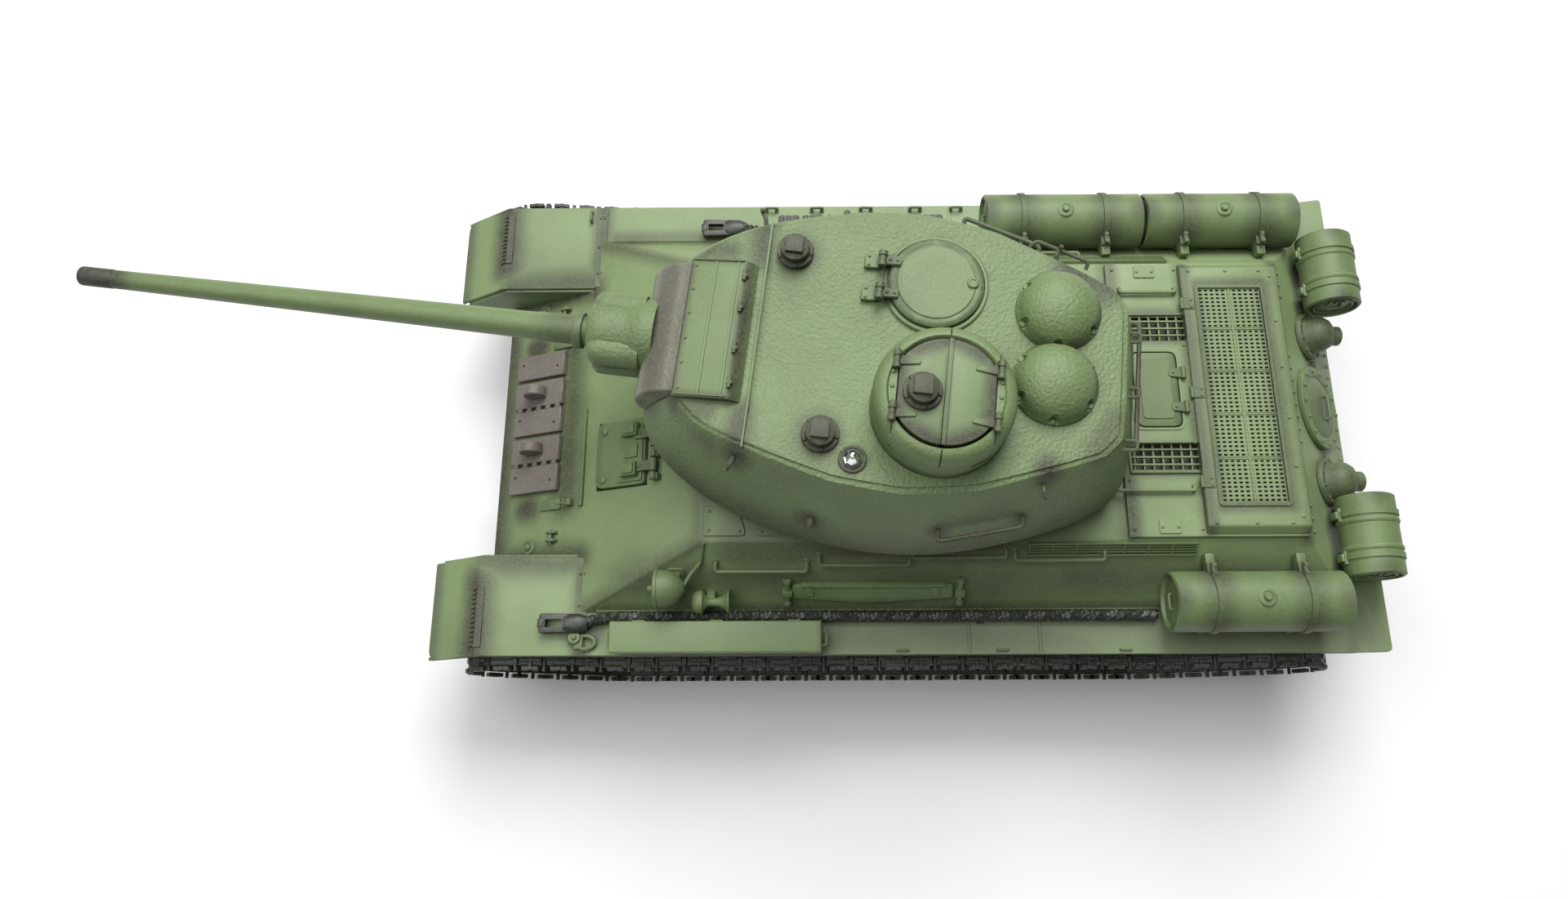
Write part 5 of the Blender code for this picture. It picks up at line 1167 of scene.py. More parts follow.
bm = bmesh.new()
for x, y in ((-27.3, -13.2), (-27.35, 5.2)):
    dome = turned([(10.1, 96.2), (10.1, 96.9), (9.9, 97.2), (9.6, 97.6), (9.3, 98.6), (8.6, 99.9),
                  (7.4, 101.2), (5.6, 102.3), (3.6, 103.0), (1.8, 103.3), (0, 103.4)], (x, y, 0), steps=56)
    cuts = []
    for k in range(6):
        a = k * math.tau / 6 + math.radians(30)
        cuts.append(turned([(0, 96.95), (1.25, 96.95), (1.5, 101.0), (0, 101.0)],
                    (x + 9.9 * math.cos(a), y + 9.9 * math.sin(a), 0), steps=14))
    add(bm, carve(dome, cuts))
    for k in range(6):
        a = k * math.tau / 6 + math.radians(30)
        add(bm, stud(0.75, 0.6, 6), Matrix.Translation((x + 9.5 * math.cos(a), y + 9.5 * math.sin(a), 96.9)))
piece("fan_domes", bm, "turret", painted("dome_green", [((-27.3, -23, 97), (-27.3, -23, 97), 5, 0.45),
      ((-36, -4, 97), (-18, -4, 97), 4, 0.55), ((-37, -13, 97), (-37, 5, 97), 5, 0.4)], TURRET,
      casting=0.9), TURRET, ["vent_domes"])

chrome = bpy.data.materials.new("reflector_chrome")
chrome.use_nodes = True
tree = chrome.node_tree
shader = tree.nodes["Principled BSDF"]
shader.inputs["Metallic"].default_value = 1.0
shader.inputs["Base Color"].default_value = (0.86, 0.86, 0.87, 1)
where = tree.nodes.new("ShaderNodeTexCoord").outputs["Object"]
tree.links.new(spread(tree, noise(tree, where, 900.0), 0.3, 0.7, 0.05, 0.14), shader.inputs["Roughness"])
bm = turned([(2.25, 96.4), (2.25, 97.2), (2.0, 97.5), (1.75, 97.6), (0.8, 99.4), (0.75, 99.9),
            (0.45, 100.3), (0, 100.4)], (17.2, 28.6, 0), steps=8)
piece("reflector_cone", bm, "turret", chrome, TURRET, ["reflector"], 10)
piece("reflector_seat", turned([(3.3, 96.0), (3.3, 96.6), (3.0, 96.85), (2.7, 96.85), (2.65, 96.4),
      (0, 96.4)], (17.2, 28.6, 0), steps=28), "turret", fitting_brown, TURRET)


def out_from_wall(x, y, z):
    """Point on the casting's flank at a height, from the outlines."""
    t = (z - 68.6) / (94.0 - 68.6)
    pts = [(xa + (xb - xa) * t, ya + (yb - ya) * t) for (xa, ya), (xb, yb) in zip(low_half, top_half)]
    best = min(zip(pts, pts[1:]), key=lambda ab: 0 if min(ab[0][0], ab[1][0]) <= x <= max(ab[0][0],
               ab[1][0]) else 99)
    (xa, ya), (xb, yb) = best
    k = (x - xa) / (xb - xa) if xb != xa else 0
    return (x, math.copysign(ya + (yb - ya) * k + 0.8, y), z)


bm = bmesh.new()
for s in (1, -1):
    z = 82.0
    a, b = Vector(out_from_wall(-4.8, s, z)), Vector(out_from_wall(-24.3, s, z))
    lift = Vector((0, s * 2.9, 0.9))
    add(bm, pipe([a - lift * 0.4, a + lift, b + lift, b - lift * 0.4], 0.6, 1.1))
    for p in (a, b):
        add(bm, stud(1.1, 0.6, 12),
            Matrix.Translation(p)
            @ Matrix.Rotation(-s * math.radians(62), 4, "X")
            @ Matrix.Translation((0, 0, -0.5)))
    p = Vector(out_from_wall(44.4, s, 91.5))
    add(bm, pipe([p - Vector((0, s * 1.6, 0.4)), p + Vector((0.4, s * 1.0, 0.8)),
        p + Vector((1.2, s * 2.6, 0.2)), p + Vector((1.6, s * 3.0, 1.6))], 0.55, 0.8))
    p = Vector(out_from_wall(-26.9, s, 91.5))
    add(bm, pipe([p - Vector((0, s * 1.6, 0.4)), p + Vector((0, s * 0.8, 1.4)),
        p + Vector((-0.6, s * 2.4, 0.6)), p + Vector((-1.0, s * 2.9, 2.0))], 0.55, 0.8))
    p = Vector(out_from_wall(25.3, s, 80.0))
    add(bm, turned([(1.25, -0.8), (1.2, 0.6), (0.7, 2.0), (0.3, 2.3), (0, 2.35)], steps=18),
        Matrix.Translation(p)
        @ Matrix.Rotation(-s * math.radians(64), 4, "X"))
add(bm, pipe([(-45.6, -15.6, 86), (-48.6, -15.6, 88.6), (-48.6, 15.4, 88.6), (-45.6, 15.4, 86)], 0.6, 1.4))
for y in (-10.0, 3.9, 16.8):
    add(bm, pipe([(-44.0, y - 1.1, 92.0), (-47.6, y - 1.1, 93.2), (-47.6, y + 1.1, 93.2),
        (-44.0, y + 1.1, 92.0)], 0.45, 0.7))
add(bm, pipe([(-34.5, -27.5, 90.5), (-35.0, -29.2, 91.6), (-22.0, -33.4, 91.6), (-20.6, -32.0, 90.2)], 0.5,
    1.0))
piece("turret_rails", settle(bm), "turret", fitting_brown, TURRET)

# ---- Hatches and periscopes ----
# Drum-shaped cupola with a thick rounded rim and two flaps on double hinges; a disc hatch for the
# loader with a stepped rim; low round periscopes on bolted flanges, each under a square cap.
def barrel_hinge(bm, x, y0, y1, z, r=0.95):
    """Three knuckles and a pin along Y."""
    third = (y1 - y0) / 3
    for k, rr in enumerate((r, r * 0.78, r)):
        add(bm, turned([(0, y0 + third * k), (rr - 0.12, y0 + third * k), (rr, y0 + third * k + 0.12),
            (rr, y0 + third * (k + 1) - 0.12), (rr - 0.12, y0 + third * (k + 1)),
            (0, y0 + third * (k + 1))], (x, 0, z), "Y", 16))


CX, CY, CT = -1.6, 14.4, 109.4
cup_green = painted("cupola_green", [((CX, CY - 16, 104), (CX, CY - 16, 104), 5, 0.3)]
                    + [((CX + 16.4 * math.cos(a), CY + 16.4 * math.sin(a), 97),
                        (CX + 16.4 * math.cos(b), CY + 16.4 * math.sin(b), 97), 3.0, 0.5)
                        for a, b in ((0.4, 1.2), (1.2, 2.0), (2.0, 2.8))], TURRET, casting=0.45)
bm = turned([(16.3, 96.4), (16.35, 97.0), (16.1, 99.0), (16.1, 103.6), (16.2, 105.4), (15.9, 107.2),
            (15.1, 108.5), (14.1, 109.15), (13.3, 109.3), (12.95, 109.0), (12.7, 108.2), (12.6, 107.0),
            (12.6, 96.4)], (CX, CY, 0), steps=80)
edges = [e for e in bm.edges if len(e.link_faces) == 1]
bmesh.ops.bridge_loops(bm, edges=edges)
bmesh.ops.recalc_face_normals(bm, faces=bm.faces)
slots = []
for k in range(5):
    a = math.radians(36 + k * 72 + 20)
    slots.append(add(bmesh.new(), block(14.9, 17.5, -3.0, 3.0, 100.6, 102.4, 0.3),
                 Matrix.Translation((CX, CY, 0)) @ Matrix.Rotation(a, 4, "Z")))
slots.append(block(CX - 0.14, CX + 0.14, CY + 13.3, CY + 18, 104.5, 111, 0))
slots.append(block(CX - 0.14, CX + 0.14, CY - 18, CY - 13.3, 104.5, 111, 0))
for x in (-11.3, 11.3):
    for y in (-1, 1):
        slots.append(block(CX + x - 0.13, CX + x + 0.13, CY + y * 10.2 - 2.0, CY + y * 10.2 + 2.0, 107.4,
                     111, 0))
bm = carve(bm, slots)
for s in (1, -1):
    segment = [(CX + s * 10.95, CY + y) for y in (-6.6, 6.6)]
    arc_pts = [(CX + s * 12.85 * math.cos(a), CY + 12.85 * math.sin(a))
               for a in [math.radians(30 - 60 * k / 8) for k in range(9)]]
    add(bm, slab([segment[0]] + arc_pts[::-1] + [segment[1]], "Z", 107.3, 109.2, 0.1, 1))
    for y in (-3.4, 0, 3.4):
        add(bm, stud(0.55, 0.45, 8), Matrix.Translation((CX + s * 12.0, CY + y, 109.15)))
piece("cupola_drum", settle(bm), "turret", cup_green, TURRET, ["cupola"])

for name, s in (("front", 1), ("rear", -1)):
    flap_mist = [((CX + s * 10.5, CY - 10, CT), (CX + s * 10.5, CY + 10, CT), 4.5, 0.75),
                 ((CX + s, CY - 12, CT), (CX + s * 8, CY - 9, CT), 4, 0.7),
                 ((CX + s, CY + 12, CT), (CX + s * 8, CY + 9, CT), 4, 0.7),
                 ((CX, CY - 12, CT), (CX, CY + 12, CT), 1.6, 0.4)]
    if s > 0:
        flap_mist.append(((CX + 5.3, CY + 0.8, CT), (CX + 5.3, CY + 0.8, CT), 7, 0.75))
    half = [(0.25, -12.2)] + [(min(10.75, 12.3 * math.cos(a)), 12.3 * math.sin(a)) for a in
                              [math.radians(-88 + 176 * k / 40) for k in range(41)]] + [(0.25, 12.2)]
    outline = []
    for x, y in half:
        if not outline or (Vector(outline[-1]) - Vector((CX + s * x, CY + y))).length > 0.25:
            outline.append((CX + s * x, CY + y))
    bm = slab(outline, "Z", CT - 2.0, CT + 0.1, 0.2)
    if s > 0:
        bm = carve(bm, [turned([(0, CT - 5), (2.3, CT - 5), (2.3, CT + 5), (0, CT + 5)],
                   (CX + 5.3, CY + 0.8, 0), steps=24)])
    for y in (-6.0, 6.2):
        tip = 6.2 if s > 0 else 6.0
        strap_pts = rounded([(CX + s * 11.6, CY + y - 1.3), (CX + s * tip, CY + y - 0.5),
                            (CX + s * tip, CY + y + 0.5), (CX + s * 11.6, CY + y + 1.3)],
                            (0, 0.45, 0.45, 0))
        add(bm, slab(strap_pts, "Z", CT, CT + 0.55, 0.12, 1))
        barrel_hinge(bm, CX + s * 11.5, CY + y - 2.1, CY + y + 2.1, CT + 0.75)
    if s < 0:
        add(bm, block(CX - 0.75, CX + 0.35, CY - 12.4, CY + 12.4, CT + 0.05, CT + 0.55, 0.2))
    piece("cupola_flap_" + name, settle(bm), "cupola_hatch_" + name,
          painted("flap_green_" + name, flap_mist, TURRET), TURRET, ["cupola_hatch_" + name])

LX, LY = 2.0, -16.6
loader_green = painted("loader_green", [((LX + 12, LY - 5, 98), (LX + 12, LY + 5, 98), 5, 0.6)]
                       + [((LX + 11 * math.cos(a), LY + 11 * math.sin(a), 98),
                       (LX + 11 * math.cos(a + 0.7), LY + 11 * math.sin(a + 0.7), 98), 2.2, 0.4)
                       for a in (0.4, 1.3, 2.2, 3.1, 4.0, 4.9)], TURRET, casting=0.3)
bm = turned([(0, 96.5), (11.3, 96.5), (11.4, 96.9), (11.3, 97.5), (10.8, 97.9), (10.1, 98.0), (9.8, 97.85),
            (9.5, 97.85), (9.2, 98.15), (0, 98.2)], (LX, LY, 0), steps=72)
for y in (-20.7, -12.3):
    add(bm, slab(rounded([(LX + 13.2, y - 1.5), (LX + 8.6, y - 1.1), (LX + 8.6, y + 1.1),
        (LX + 13.2, y + 1.5)], (0, 0.7, 0.7, 0)), "Z", 97.7, 98.9, 0.25, 1))
    barrel_hinge(bm, LX + 13.2, y - 2.0, y + 2.0, 99.0, 1.1)
    for dx in (9.6, 11.4):
        add(bm, stud(0.45, 0.4, 8), Matrix.Translation((LX + dx, y, 98.85)))
add(bm, turned([(1.4, 97.9), (1.4, 98.5), (1.2, 98.7), (0.8, 98.7), (0.7, 98.5), (0, 98.5)],
    (LX - 8.6, LY - 0.6, 0), steps=20))
piece("loader_hatch_disc", settle(bm), "loader_hatch", loader_green, TURRET, ["loader_hatch"])
bm = turned([(12.6, 96.2), (12.6, 96.5), (12.3, 96.75), (11.75, 96.75), (11.6, 96.3)], (LX, LY, 0), steps=72)
for y in (-20.7, -12.3):
    add(bm, block(LX + 13.6, LX + 17.4, y - 1.9, y + 1.9, 96.2, 97.4, 0.25, 1))
    for dy in (-1.1, 1.1):
        add(bm, stud(0.45, 0.4, 8), Matrix.Translation((LX + 16.4, y + dy, 97.35)))
piece("loader_hatch_seat", settle(bm), "turret", loader_green, TURRET)

for name, x, y, z, body_name in (("left", 25.1, 23.6, TURRET_ROOF, "periscope_left"),
        ("right", 36.2, -21.1, TURRET_ROOF, "periscope_right"),
        ("cupola", CX + 5.3, CY + 0.8, CT + 0.1, "periscope_cupola")):
    bm = turned([(0, z - 3), (2.1, z - 3), (2.1, z + 0.3), (4.4, z + 0.3), (4.4, z + 0.8), (4.2, z + 1.0),
                (3.6, z + 1.0), (3.35, z + 1.2), (3.3, z + 2.7), (3.45, z + 2.9), (3.4, z + 3.3),
                (3.1, z + 3.5), (0, z + 3.6)], (x, y, 0), steps=40)
    cap = slab(rounded([(-2.6, -2.2), (1.7, -2.2), (1.7, 1.9), (-2.6, 1.9)], (0.4, 0.4, 0.4, 0.4)), "Z",
               z + 3.2, z + 4.75, 0.2)
    add(bm, cap, Matrix.Translation((x + 0.6, y, 0)))
    for k in range(5):
        a = k * math.tau / 5 + 0.5
        add(bm, stud(0.5, 0.45, 8), Matrix.Translation((x + 3.9 * math.cos(a), y + 3.9 * math.sin(a),
            z + 0.95)))
    piece("periscope_head_" + name, settle(bm), body_name, painted("periscope_paint_" + name, base=0.7),
          TURRET, [body_name])

# ---- Gun ----
# A curved mantlet on trunnions between the turret cheeks, its lobed sleeve, and a long tapering
# tube that slides back in the sleeve; the muzzle is sprayed dark and bored out.
TRUNNION_X, TRUNNION_Z, GUN_Z, MUZZLE = 58.5, 82.0, 83.5, 215.0
sector = [(TRUNNION_X + 12.8 * math.cos(a), TRUNNION_Z + 12.8 * math.sin(a))
          for a in [math.radians(-78 + 178 * k / 40) for k in range(41)]]
bm = slab(sector + [(50.0, 86.0), (50.0, 77.0)], "Y", -16.6, 16.6, 0)
rim = [e for e in bm.edges if all(abs(abs(v.co.y) - 16.6) < 0.01 for v in e.verts)
       and min(v.co.x for v in e.verts) > 55.5]
bmesh.ops.bevel(bm, geom=rim, offset=0.7, segments=3, profile=0.5, affect="EDGES", material=-1)
mantlet_mist = [((66, -14, 92), (66, 14, 92), 8, 0.9), ((71, -15, 84), (71, 15, 84), 6, 0.6),
                ((60, -16, 94), (60, 16, 94), 6, 0.8)]
mantlet_paint = painted("mantlet_paint", mantlet_mist, TURRET, paint=(0.24, 0.255, 0.185, 1),
                        mist=(0.11, 0.1, 0.08, 1), base=0.05, casting=0.8)
piece("mantlet_shield", bm, "gun", mantlet_paint, TURRET, ["mantlet"])
bm = turned([(0, 9.5), (9.4, 9.5), (9.5, 11.5), (9.3, 14.0), (8.6, 15.2), (8.3, 17.5), (8.25, 22.5),
            (8.0, 24.6), (7.2, 25.8), (6.0, 26.2), (4.2, 26.2), (3.8, 25.6), (3.8, 22), (0, 22)],
            (TRUNNION_X, 0, GUN_Z), "X", 56)
for y in (-1, 1):
    lobe = turned([(0, 12.5), (3.8, 12.6), (3.8, 22.6), (3.5, 24.2), (2.6, 25.1), (0, 25.3)],
                  (TRUNNION_X, y * 5.6, GUN_Z + 3.2), "X", 28)
    lower = turned([(0, 12.5), (3.8, 12.6), (3.8, 22.6), (3.5, 24.2), (2.6, 25.1), (0, 25.3)],
                   (TRUNNION_X, y * 5.6, GUN_Z - 3.2), "X", 28)
    bm = carve(bm, [lobe, lower], "UNION")
piece("gun_sleeve", bm, "gun", painted("sleeve_green", [((84, -8, 84), (84, 8, 84), 4, 0.5),
      ((70, -9, 84), (70, 9, 84), 5, 0.7)], TURRET, casting=0.8, base=0.08), TURRET)
pin = turned([(0, -19.4), (1.9, -19.4), (2.0, -19.2), (2.0, 19.2), (1.9, 19.4), (0, 19.4)],
             (TRUNNION_X, 0, TRUNNION_Z), "Y", 24)
piece("trunnion_pin", pin, "gun", black, TURRET)

bm = turned([(0, 52.0), (3.5, 52.0), (3.6, 52.2), (3.6, 98.0), (3.45, 98.6), (2.35, MUZZLE - 8.6),
            (2.3, MUZZLE - 8.4), (2.0, MUZZLE - 8.4), (0, MUZZLE - 8.4)], (0, 0, GUN_Z), "X", 40)
add(bm, turned([(3.6, 86.4), (4.4, 86.5), (4.5, 86.8), (4.5, 88.4), (4.3, 88.7), (3.6, 88.8)],
    (0, 0, GUN_Z), "X", 40))
piece("gun_tube", bm, "barrel", painted("tube_green", [((86, 0, 84), (92, 0, 84), 9, 0.55),
      ((MUZZLE - 9, 0, 84), (MUZZLE, 0, 84), 7, 0.75)], TURRET, base=0.0), TURRET, ["barrel"])
bm = turned([(0, MUZZLE - 8.4), (2.35, MUZZLE - 8.4), (2.45, MUZZLE - 8.1), (2.45, MUZZLE - 0.5),
            (2.3, MUZZLE - 0.1), (2.0, MUZZLE), (1.5, MUZZLE), (1.3, MUZZLE - 0.3), (1.3, MUZZLE - 8.0),
            (0, MUZZLE - 8.0)], (0, 0, GUN_Z), "X", 40)
piece("muzzle_collar", bm, "barrel", painted("muzzle_brown", base=0.9, mist=(0.04, 0.034, 0.028, 1),
      paint=(0.05, 0.05, 0.035, 1)), TURRET)

# ---- Tracks ----
# Black cast links, alternately with and without a guide tooth, pinned together edge to edge and
# hanging over the road wheels; the pattern of ribs and pin holes is cast into each link.
track_black = painted("track_black", paint=(0.009, 0.009, 0.008, 1), mist=(0.026, 0.022, 0.017, 1),
                      base=0.25, casting=0.4, gloss=0.06)
WHEEL_X, WHEEL_Z, WHEEL_R = (95.0, 59.5, 20.5, -15.5, -51.0), 19.5, 17.0
IDLER, SPROCKET = (124.0, 29.0, 11.5), (-81.5, 28.5, 12.5)
TRACK_IN, TRACK_OUT = 45.0, 68.2
MID_Y = (TRACK_IN + TRACK_OUT) / 2


def sweep(cx, cz, r, a0, a1, n):
    return [Vector((cx + r * math.cos(math.radians(a0 + (a1 - a0) * i / n)),
            cz + r * math.sin(math.radians(a0 + (a1 - a0) * i / n)))) for i in range(n + 1)]


mid = 1.35
path = sweep(WHEEL_X[4], WHEEL_Z, WHEEL_R + mid, -112, -90, 4) + sweep(WHEEL_X[0], WHEEL_Z, WHEEL_R + mid,
             -90, -60, 5)
path += sweep(*IDLER[:2], IDLER[2] + mid, -52, 98, 16)
for x in WHEEL_X:
    path += sweep(x, WHEEL_Z, WHEEL_R + 0.5 + mid, 84, 96, 1)
path += sweep(*SPROCKET[:2], SPROCKET[2] + mid, 82, 248, 16)
legs = [(b - a).length for a, b in zip(path, path[1:] + path[:1])]
count = 2 * round(sum(legs) / 7.3 / 2)
pitch = sum(legs) / count


def on_path(s):
    s %= sum(legs)
    for i, leg in enumerate(legs):
        if s <= leg:
            return path[i].lerp(path[(i + 1) % len(path)], s / leg)
        s -= leg
    return path[0]


def link(toothed, half):
    """One link: x along the track, y across it, z away from the wheels."""
    bm = block(-half + 0.6, half - 0.6, -10.2, 10.2, -0.75, 0.45, 0.15, 1)
    for k in range(6):
        y = -11.6 + k * 4.0 + (0 if toothed else 2.0)
        if y + 1.9 < 11.7:
            add(bm, block(half - 0.9, half + 0.5, y, y + 1.6, -0.75, 0.75, 0.15, 1))
    for y in (-11.6, 10.5):
        add(bm, block(-half + 1.5, half - 1.5, y, y + 1.1, -0.95, 1.05, 0.15, 1))
        add(bm, block(-0.6, 0.6, y, y + 1.1, -0.95, 1.25, 0.1, 1))
    add(bm, pipe([(half - 0.1, -11.75, 0), (half - 0.1, 11.75, 0)], 0.5, 0.2, 1))
    if toothed:
        tooth = slab([(-2.4, -0.7), (2.4, -0.7), (1.9, -2.9), (1.0, -4.5), (0, -5.0), (-1.0, -4.5),
                     (-1.9, -2.9)], "Y", -1.3, 1.3, 0.3)
        add(bm, tooth)
        for y in (-6.4, 6.4):
            add(bm, block(-half + 0.9, half - 0.9, y - 2.6, y + 2.6, 0.3, 0.95, 0.2, 1))
    else:
        for y in (-9.0, -3.0, 3.0, 9.0):
            add(bm, block(-half + 0.8, half - 0.8, y - 0.5, y + 0.5, 0.3, 1.05, 0.15, 1))
        add(bm, block(-0.5, 0.5, -10.6, 10.6, 0.3, 1.0, 0.15, 1))
    return bm


for side, s in (("left", 1), ("right", -1)):
    bm = bmesh.new()
    forms = (link(True, pitch / 2), link(False, pitch / 2))
    for i in range(count):
        a, b = on_path(i * pitch), on_path((i + 1) * pitch)
        ahead = Vector((b.x - a.x, 0, b.y - a.y)).normalized()
        out = Vector((ahead.z, 0, -ahead.x))
        middle = (a + b) / 2
        turn = Matrix(((ahead.x, 0, out.x, middle.x), (0, 1, 0, s * MID_Y), (ahead.z, 0, out.z, middle.y),
                      (0, 0, 0, 1)))
        add(bm, forms[i % 2].copy(), turn)
    for form in forms:
        form.free()
    piece("track_chain_" + side, settle(bm), "hull", track_black, replaces=["track_" + side], sharp=30)

# ---- Road wheels, idlers and sprockets ----
# Double cast wheels with black tyres, six webs and a bolted hub cap; a spoked idler at the front,
# and a drive sprocket at the back whose rollers push the guide teeth along.
tyre = painted("tyre_black", paint=(0.02, 0.02, 0.02, 1), mist=(0.07, 0.06, 0.045, 1), base=0.25, gloss=-0.15)


def wheel_disc(rim, hub, holes):
    """Green dish facing outward with cut windows and ribs; y runs out along the axle."""
    bm = turned([(2.1, 1.4), (rim, 1.4), (rim + 0.5, 1.8), (rim + 0.5, 8.6), (rim, 8.8), (rim - 0.8, 8.6),
                (rim - 1.2, 5.4), (hub + 1.5, 4.2), (hub, 4.6), (hub, 5.6), (2.1, 5.6), (2.1, 1.4)],
                (0, 0, 0), "Y", 48)
    cuts = []
    for k in range(holes):
        a = k * math.tau / holes
        mid_r = (rim + hub) / 2 + 0.2
        cuts.append(add(bmesh.new(), turned([(0, -2), ((rim - hub) * 0.24, -2), ((rim - hub) * 0.24, 12),
                    (0, 12)], (mid_r, 0, 0), "Y", 16), Matrix.Rotation(a, 4, "Y")))
    bm = carve(bm, cuts)
    for k in range(holes):
        a = (k + 0.5) * math.tau / holes
        rib = slab([(hub - 0.3, 4.0), (hub - 0.3, 6.6), (rim - 0.4, 6.0), (rim - 0.4, 4.0)], "Z", -0.45,
                   0.45, 0.12, 1)
        add(bm, rib, Matrix.Rotation(a, 4, "Y"))
    return bm


wheel_green = painted("wheel_green", base=0.3)
for side, s in (("left", 1), ("right", -1)):
    flip = Matrix.Diagonal((1, s, 1, 1))
    wheels = [("road_wheel_" + side + "_" + str(k + 1), x, WHEEL_Z, WHEEL_R) for k, x in enumerate(WHEEL_X)]
    for name, x, z, r in wheels + [("idler_" + side, *IDLER)]:
        road = r > 15
        rim, hub = (r - 3.0, 4.6) if road else (r - 1.6, 3.8)
        outer = add(bmesh.new(), wheel_disc(rim, hub, 6 if road else 8), Matrix.Translation((0, 11.1, 0)))
        inner_disc = wheel_disc(rim, hub, 6 if road else 8)
        bm = add(outer, inner_disc, Matrix.Translation((0, 8.9, 0)) @ Matrix.Diagonal((1, -1, 1, 1)))
        cap = turned([(0, 15.6), (hub + 0.2, 15.6), (hub + 0.2, 18.6), (hub - 0.3, 19.2), (hub - 1.6, 19.4),
                     (hub - 1.9, 20.2), (0, 20.6)], (0, 0, 0), "Y", 32)
        add(bm, cap)
        for k in range(6):
            a = k * math.tau / 6
            add(bm, turned([(0.5, 0), (0.5, 0.5), (0.3, 0.7), (0, 0.7)], (0, 19.1, 0), "Y", 6),
                Matrix.Rotation(a, 4, "Y") @ Matrix.Translation((hub - 0.8, 0, 0)))
        move = Matrix.Translation((x, s * TRACK_IN, z)) @ flip
        piece(name + "_casting", settle(add(bmesh.new(), bm, move)), name, wheel_green, replaces=[name])
        rubber = bmesh.new()
        for y0, y1 in ((1.5, 8.2), (12.0, 19.6)):
            band = turned([(rim + 0.3, y0), (r - 0.5, y0), (r, y0 + 0.5), (r, y1 - 0.5), (r - 0.5, y1),
                          (rim + 0.3, y1), (rim + 0.3, y0)], (0, 0, 0), "Y", 64)
            add(rubber, band)
        piece(name + "_tyres", settle(add(bmesh.new(), rubber, move)), name, tyre if road else wheel_green)

    name = "sprocket_" + side
    bm = bmesh.new()
    for y0, y1 in ((1.4, 4.6), (16.4, 19.4)):
        disc = turned([(2.0, y0), (11.6, y0), (12.4, y0 + 0.5), (12.4, y1 - 0.5), (11.6, y1),
                      (10.4, y1 - 0.4), (6.2, y1 - 1.2), (2.0, y1 - 1.2), (2.0, y0)], (0, 0, 0), "Y", 48)
        cuts = [add(bmesh.new(), turned([(0, -2), (1.5, -2), (1.5, 22), (0, 22)], (7.6, 0, 0), "Y", 14),
                Matrix.Rotation((k + 0.5) * math.tau / 6, 4, "Y")) for k in range(6)]
        add(bm, carve(disc, cuts))
    for k in range(6):
        a = k * math.tau / 6
        add(bm, turned([(0, 4.0), (1.3, 4.0), (1.3, 17.0), (0, 17.0)], (7.0, 0, 0), "Y", 18),
            Matrix.Rotation(a, 4, "Y"))
        add(bm, turned([(0.8, 0), (0.8, 0.5), (0.5, 0.8), (0, 0.8)], (9.9, 19.1, 0), "Y", 6),
            Matrix.Rotation(a, 4, "Y"))
    add(bm, turned([(0, 0.5), (4.0, 0.5), (4.0, 19.4), (3.2, 20.0), (1.6, 20.2), (0, 20.4)], (0, 0, 0), "Y",
        32))
    add(bm, turned([(0, -15.5), (2.0, -15.5), (2.0, 1.4), (0, 1.4)], (0, 0, 0), "Y", 20))
    move = Matrix.Translation((SPROCKET[0], s * TRACK_IN, SPROCKET[1])) @ flip
    piece(name + "_casting", settle(add(bmesh.new(), bm, move)), name, wheel_green, replaces=[name])

# ---- Lower hull, underside and inside ----
# The moulded tub with its screw posts and stub axles, the battery door, slide switch and bare
# plastic inside; the battery, board, speaker and drives keep their plain shapes in their own finishes.
belly_green = painted("belly_green", [((-60, 0, 17), (60, 0, 17), 30, 0.25)], base=0.25,
                      paint=(0.17, 0.235, 0.11, 1))


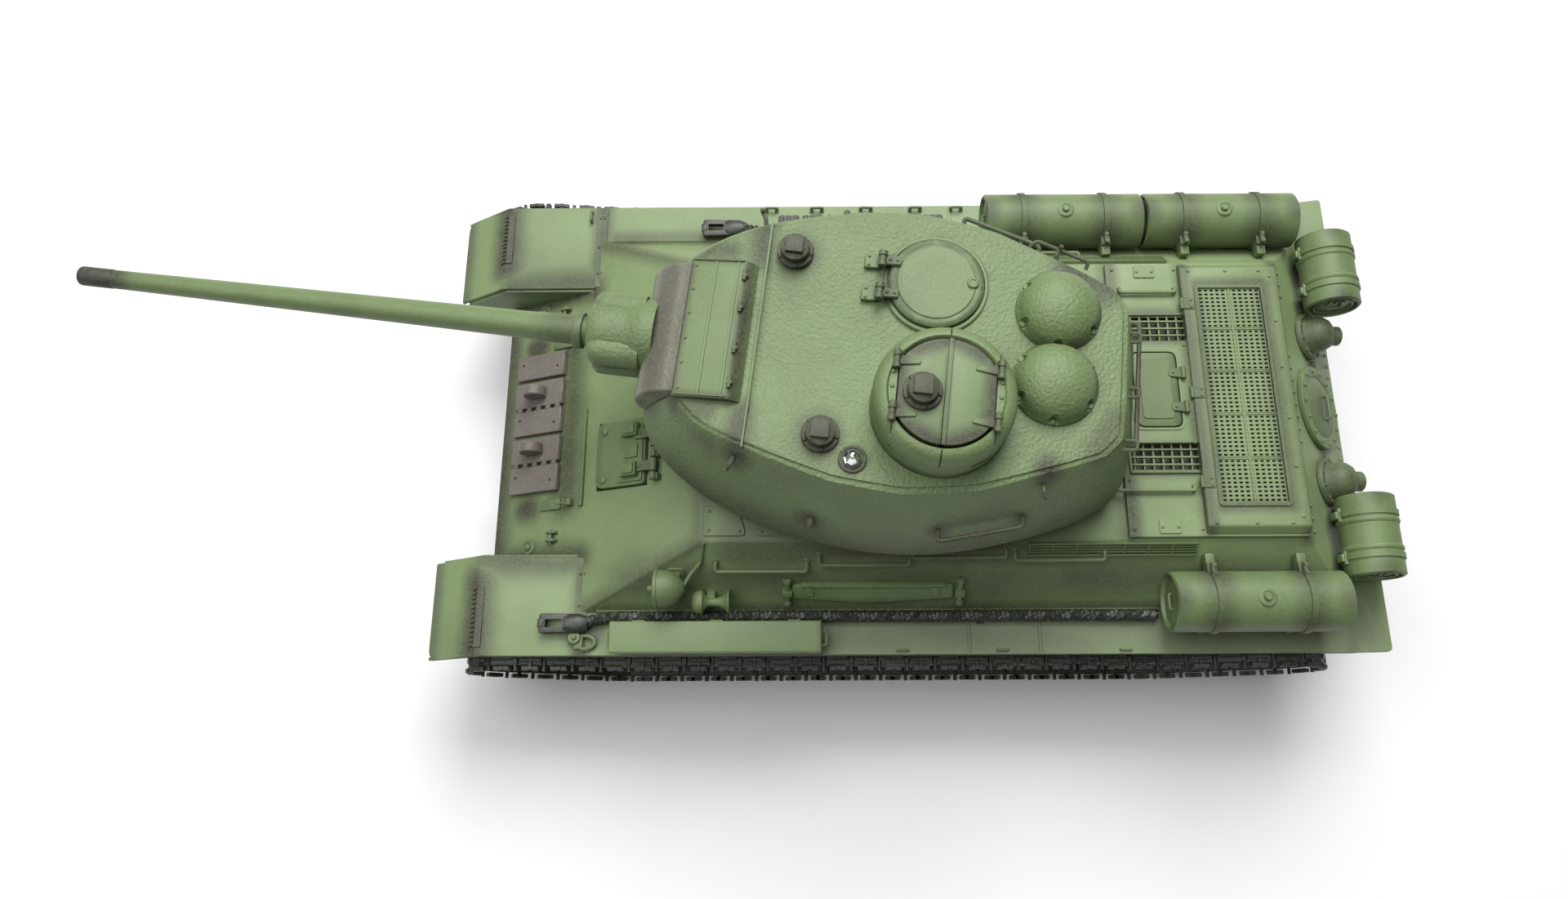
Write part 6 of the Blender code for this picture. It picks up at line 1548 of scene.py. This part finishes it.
def node_copy(node, angle=0.02):
    """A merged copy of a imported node, in millimetres from the hull datum."""
    bm = bmesh.new()
    bm.from_mesh(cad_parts[node].data)
    bmesh.ops.transform(bm, matrix=HULL.inverted(), verts=bm.verts)
    bmesh.ops.remove_doubles(bm, verts=bm.verts, dist=0.002)
    bmesh.ops.dissolve_limit(bm, angle_limit=angle, verts=bm.verts, edges=bm.edges)
    return bm


bm = node_copy("hull_lower")
for x in (-70, -30, 50, 96):
    for y in (-30, 30):
        add(bm, turned([(1.9, 0), (1.9, -0.5), (1.6, -0.8), (0.9, -0.8), (0.85, -0.3), (0, -0.3)],
            (x, y, 17.55), steps=20))
for y in (-24, 24):
    add(bm, block(-60, 92, y - 0.6, y + 0.6, 17.0, 17.7, 0.2, 1))
piece("tub", bm, "hull", belly_green, replaces=["hull_lower"])
bm = slab(rounded([(-21.7, -18.7), (41.7, -18.7), (41.7, 18.7), (-21.7, 18.7)], (1.5,) * 4), "Z", 17.5,
          19.3, 0.25)
for k in range(9):
    add(bm, block(-14 + k * 2.0, -13.1 + k * 2.0, -9, 9, 17.1, 17.7, 0.15, 1))
add(bm, turned([(2.2, 17.6), (2.2, 17.0), (1.9, 16.7), (1.0, 16.7), (0.9, 17.2), (0, 17.2)], (37.0, 0, 0),
    steps=24))
piece("battery_door", settle(bm), "hull", belly_green, replaces=["battery_cover"])
for node, finish in (("battery", painted("cell_wrap", paint=(0.03, 0.09, 0.25, 1),
                     mist=(0.02, 0.03, 0.08, 1), gloss=0.2)), ("circuit_board", painted("board_green",
                     paint=(0.01, 0.12, 0.045, 1), mist=(0.04, 0.09, 0.04, 1), gloss=0.15)),
                     ("power_switch", black), ("speaker", black), ("gearbox_left", black),
                     ("gearbox_right", black), ("turret_drive", black), ("turret_ring", black),
                     ("turret_pinion", painted("pinion_steel", paint=(0.5, 0.5, 0.5, 1),
                     mist=(0.3, 0.3, 0.3, 1), gloss=0.2, metal=1.0))):
    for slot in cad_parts[node].material_slots:
        slot.material = finish

# ---- Sizes ----
size = [[list(v) for v in cad_box], [list(v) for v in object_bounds()]]
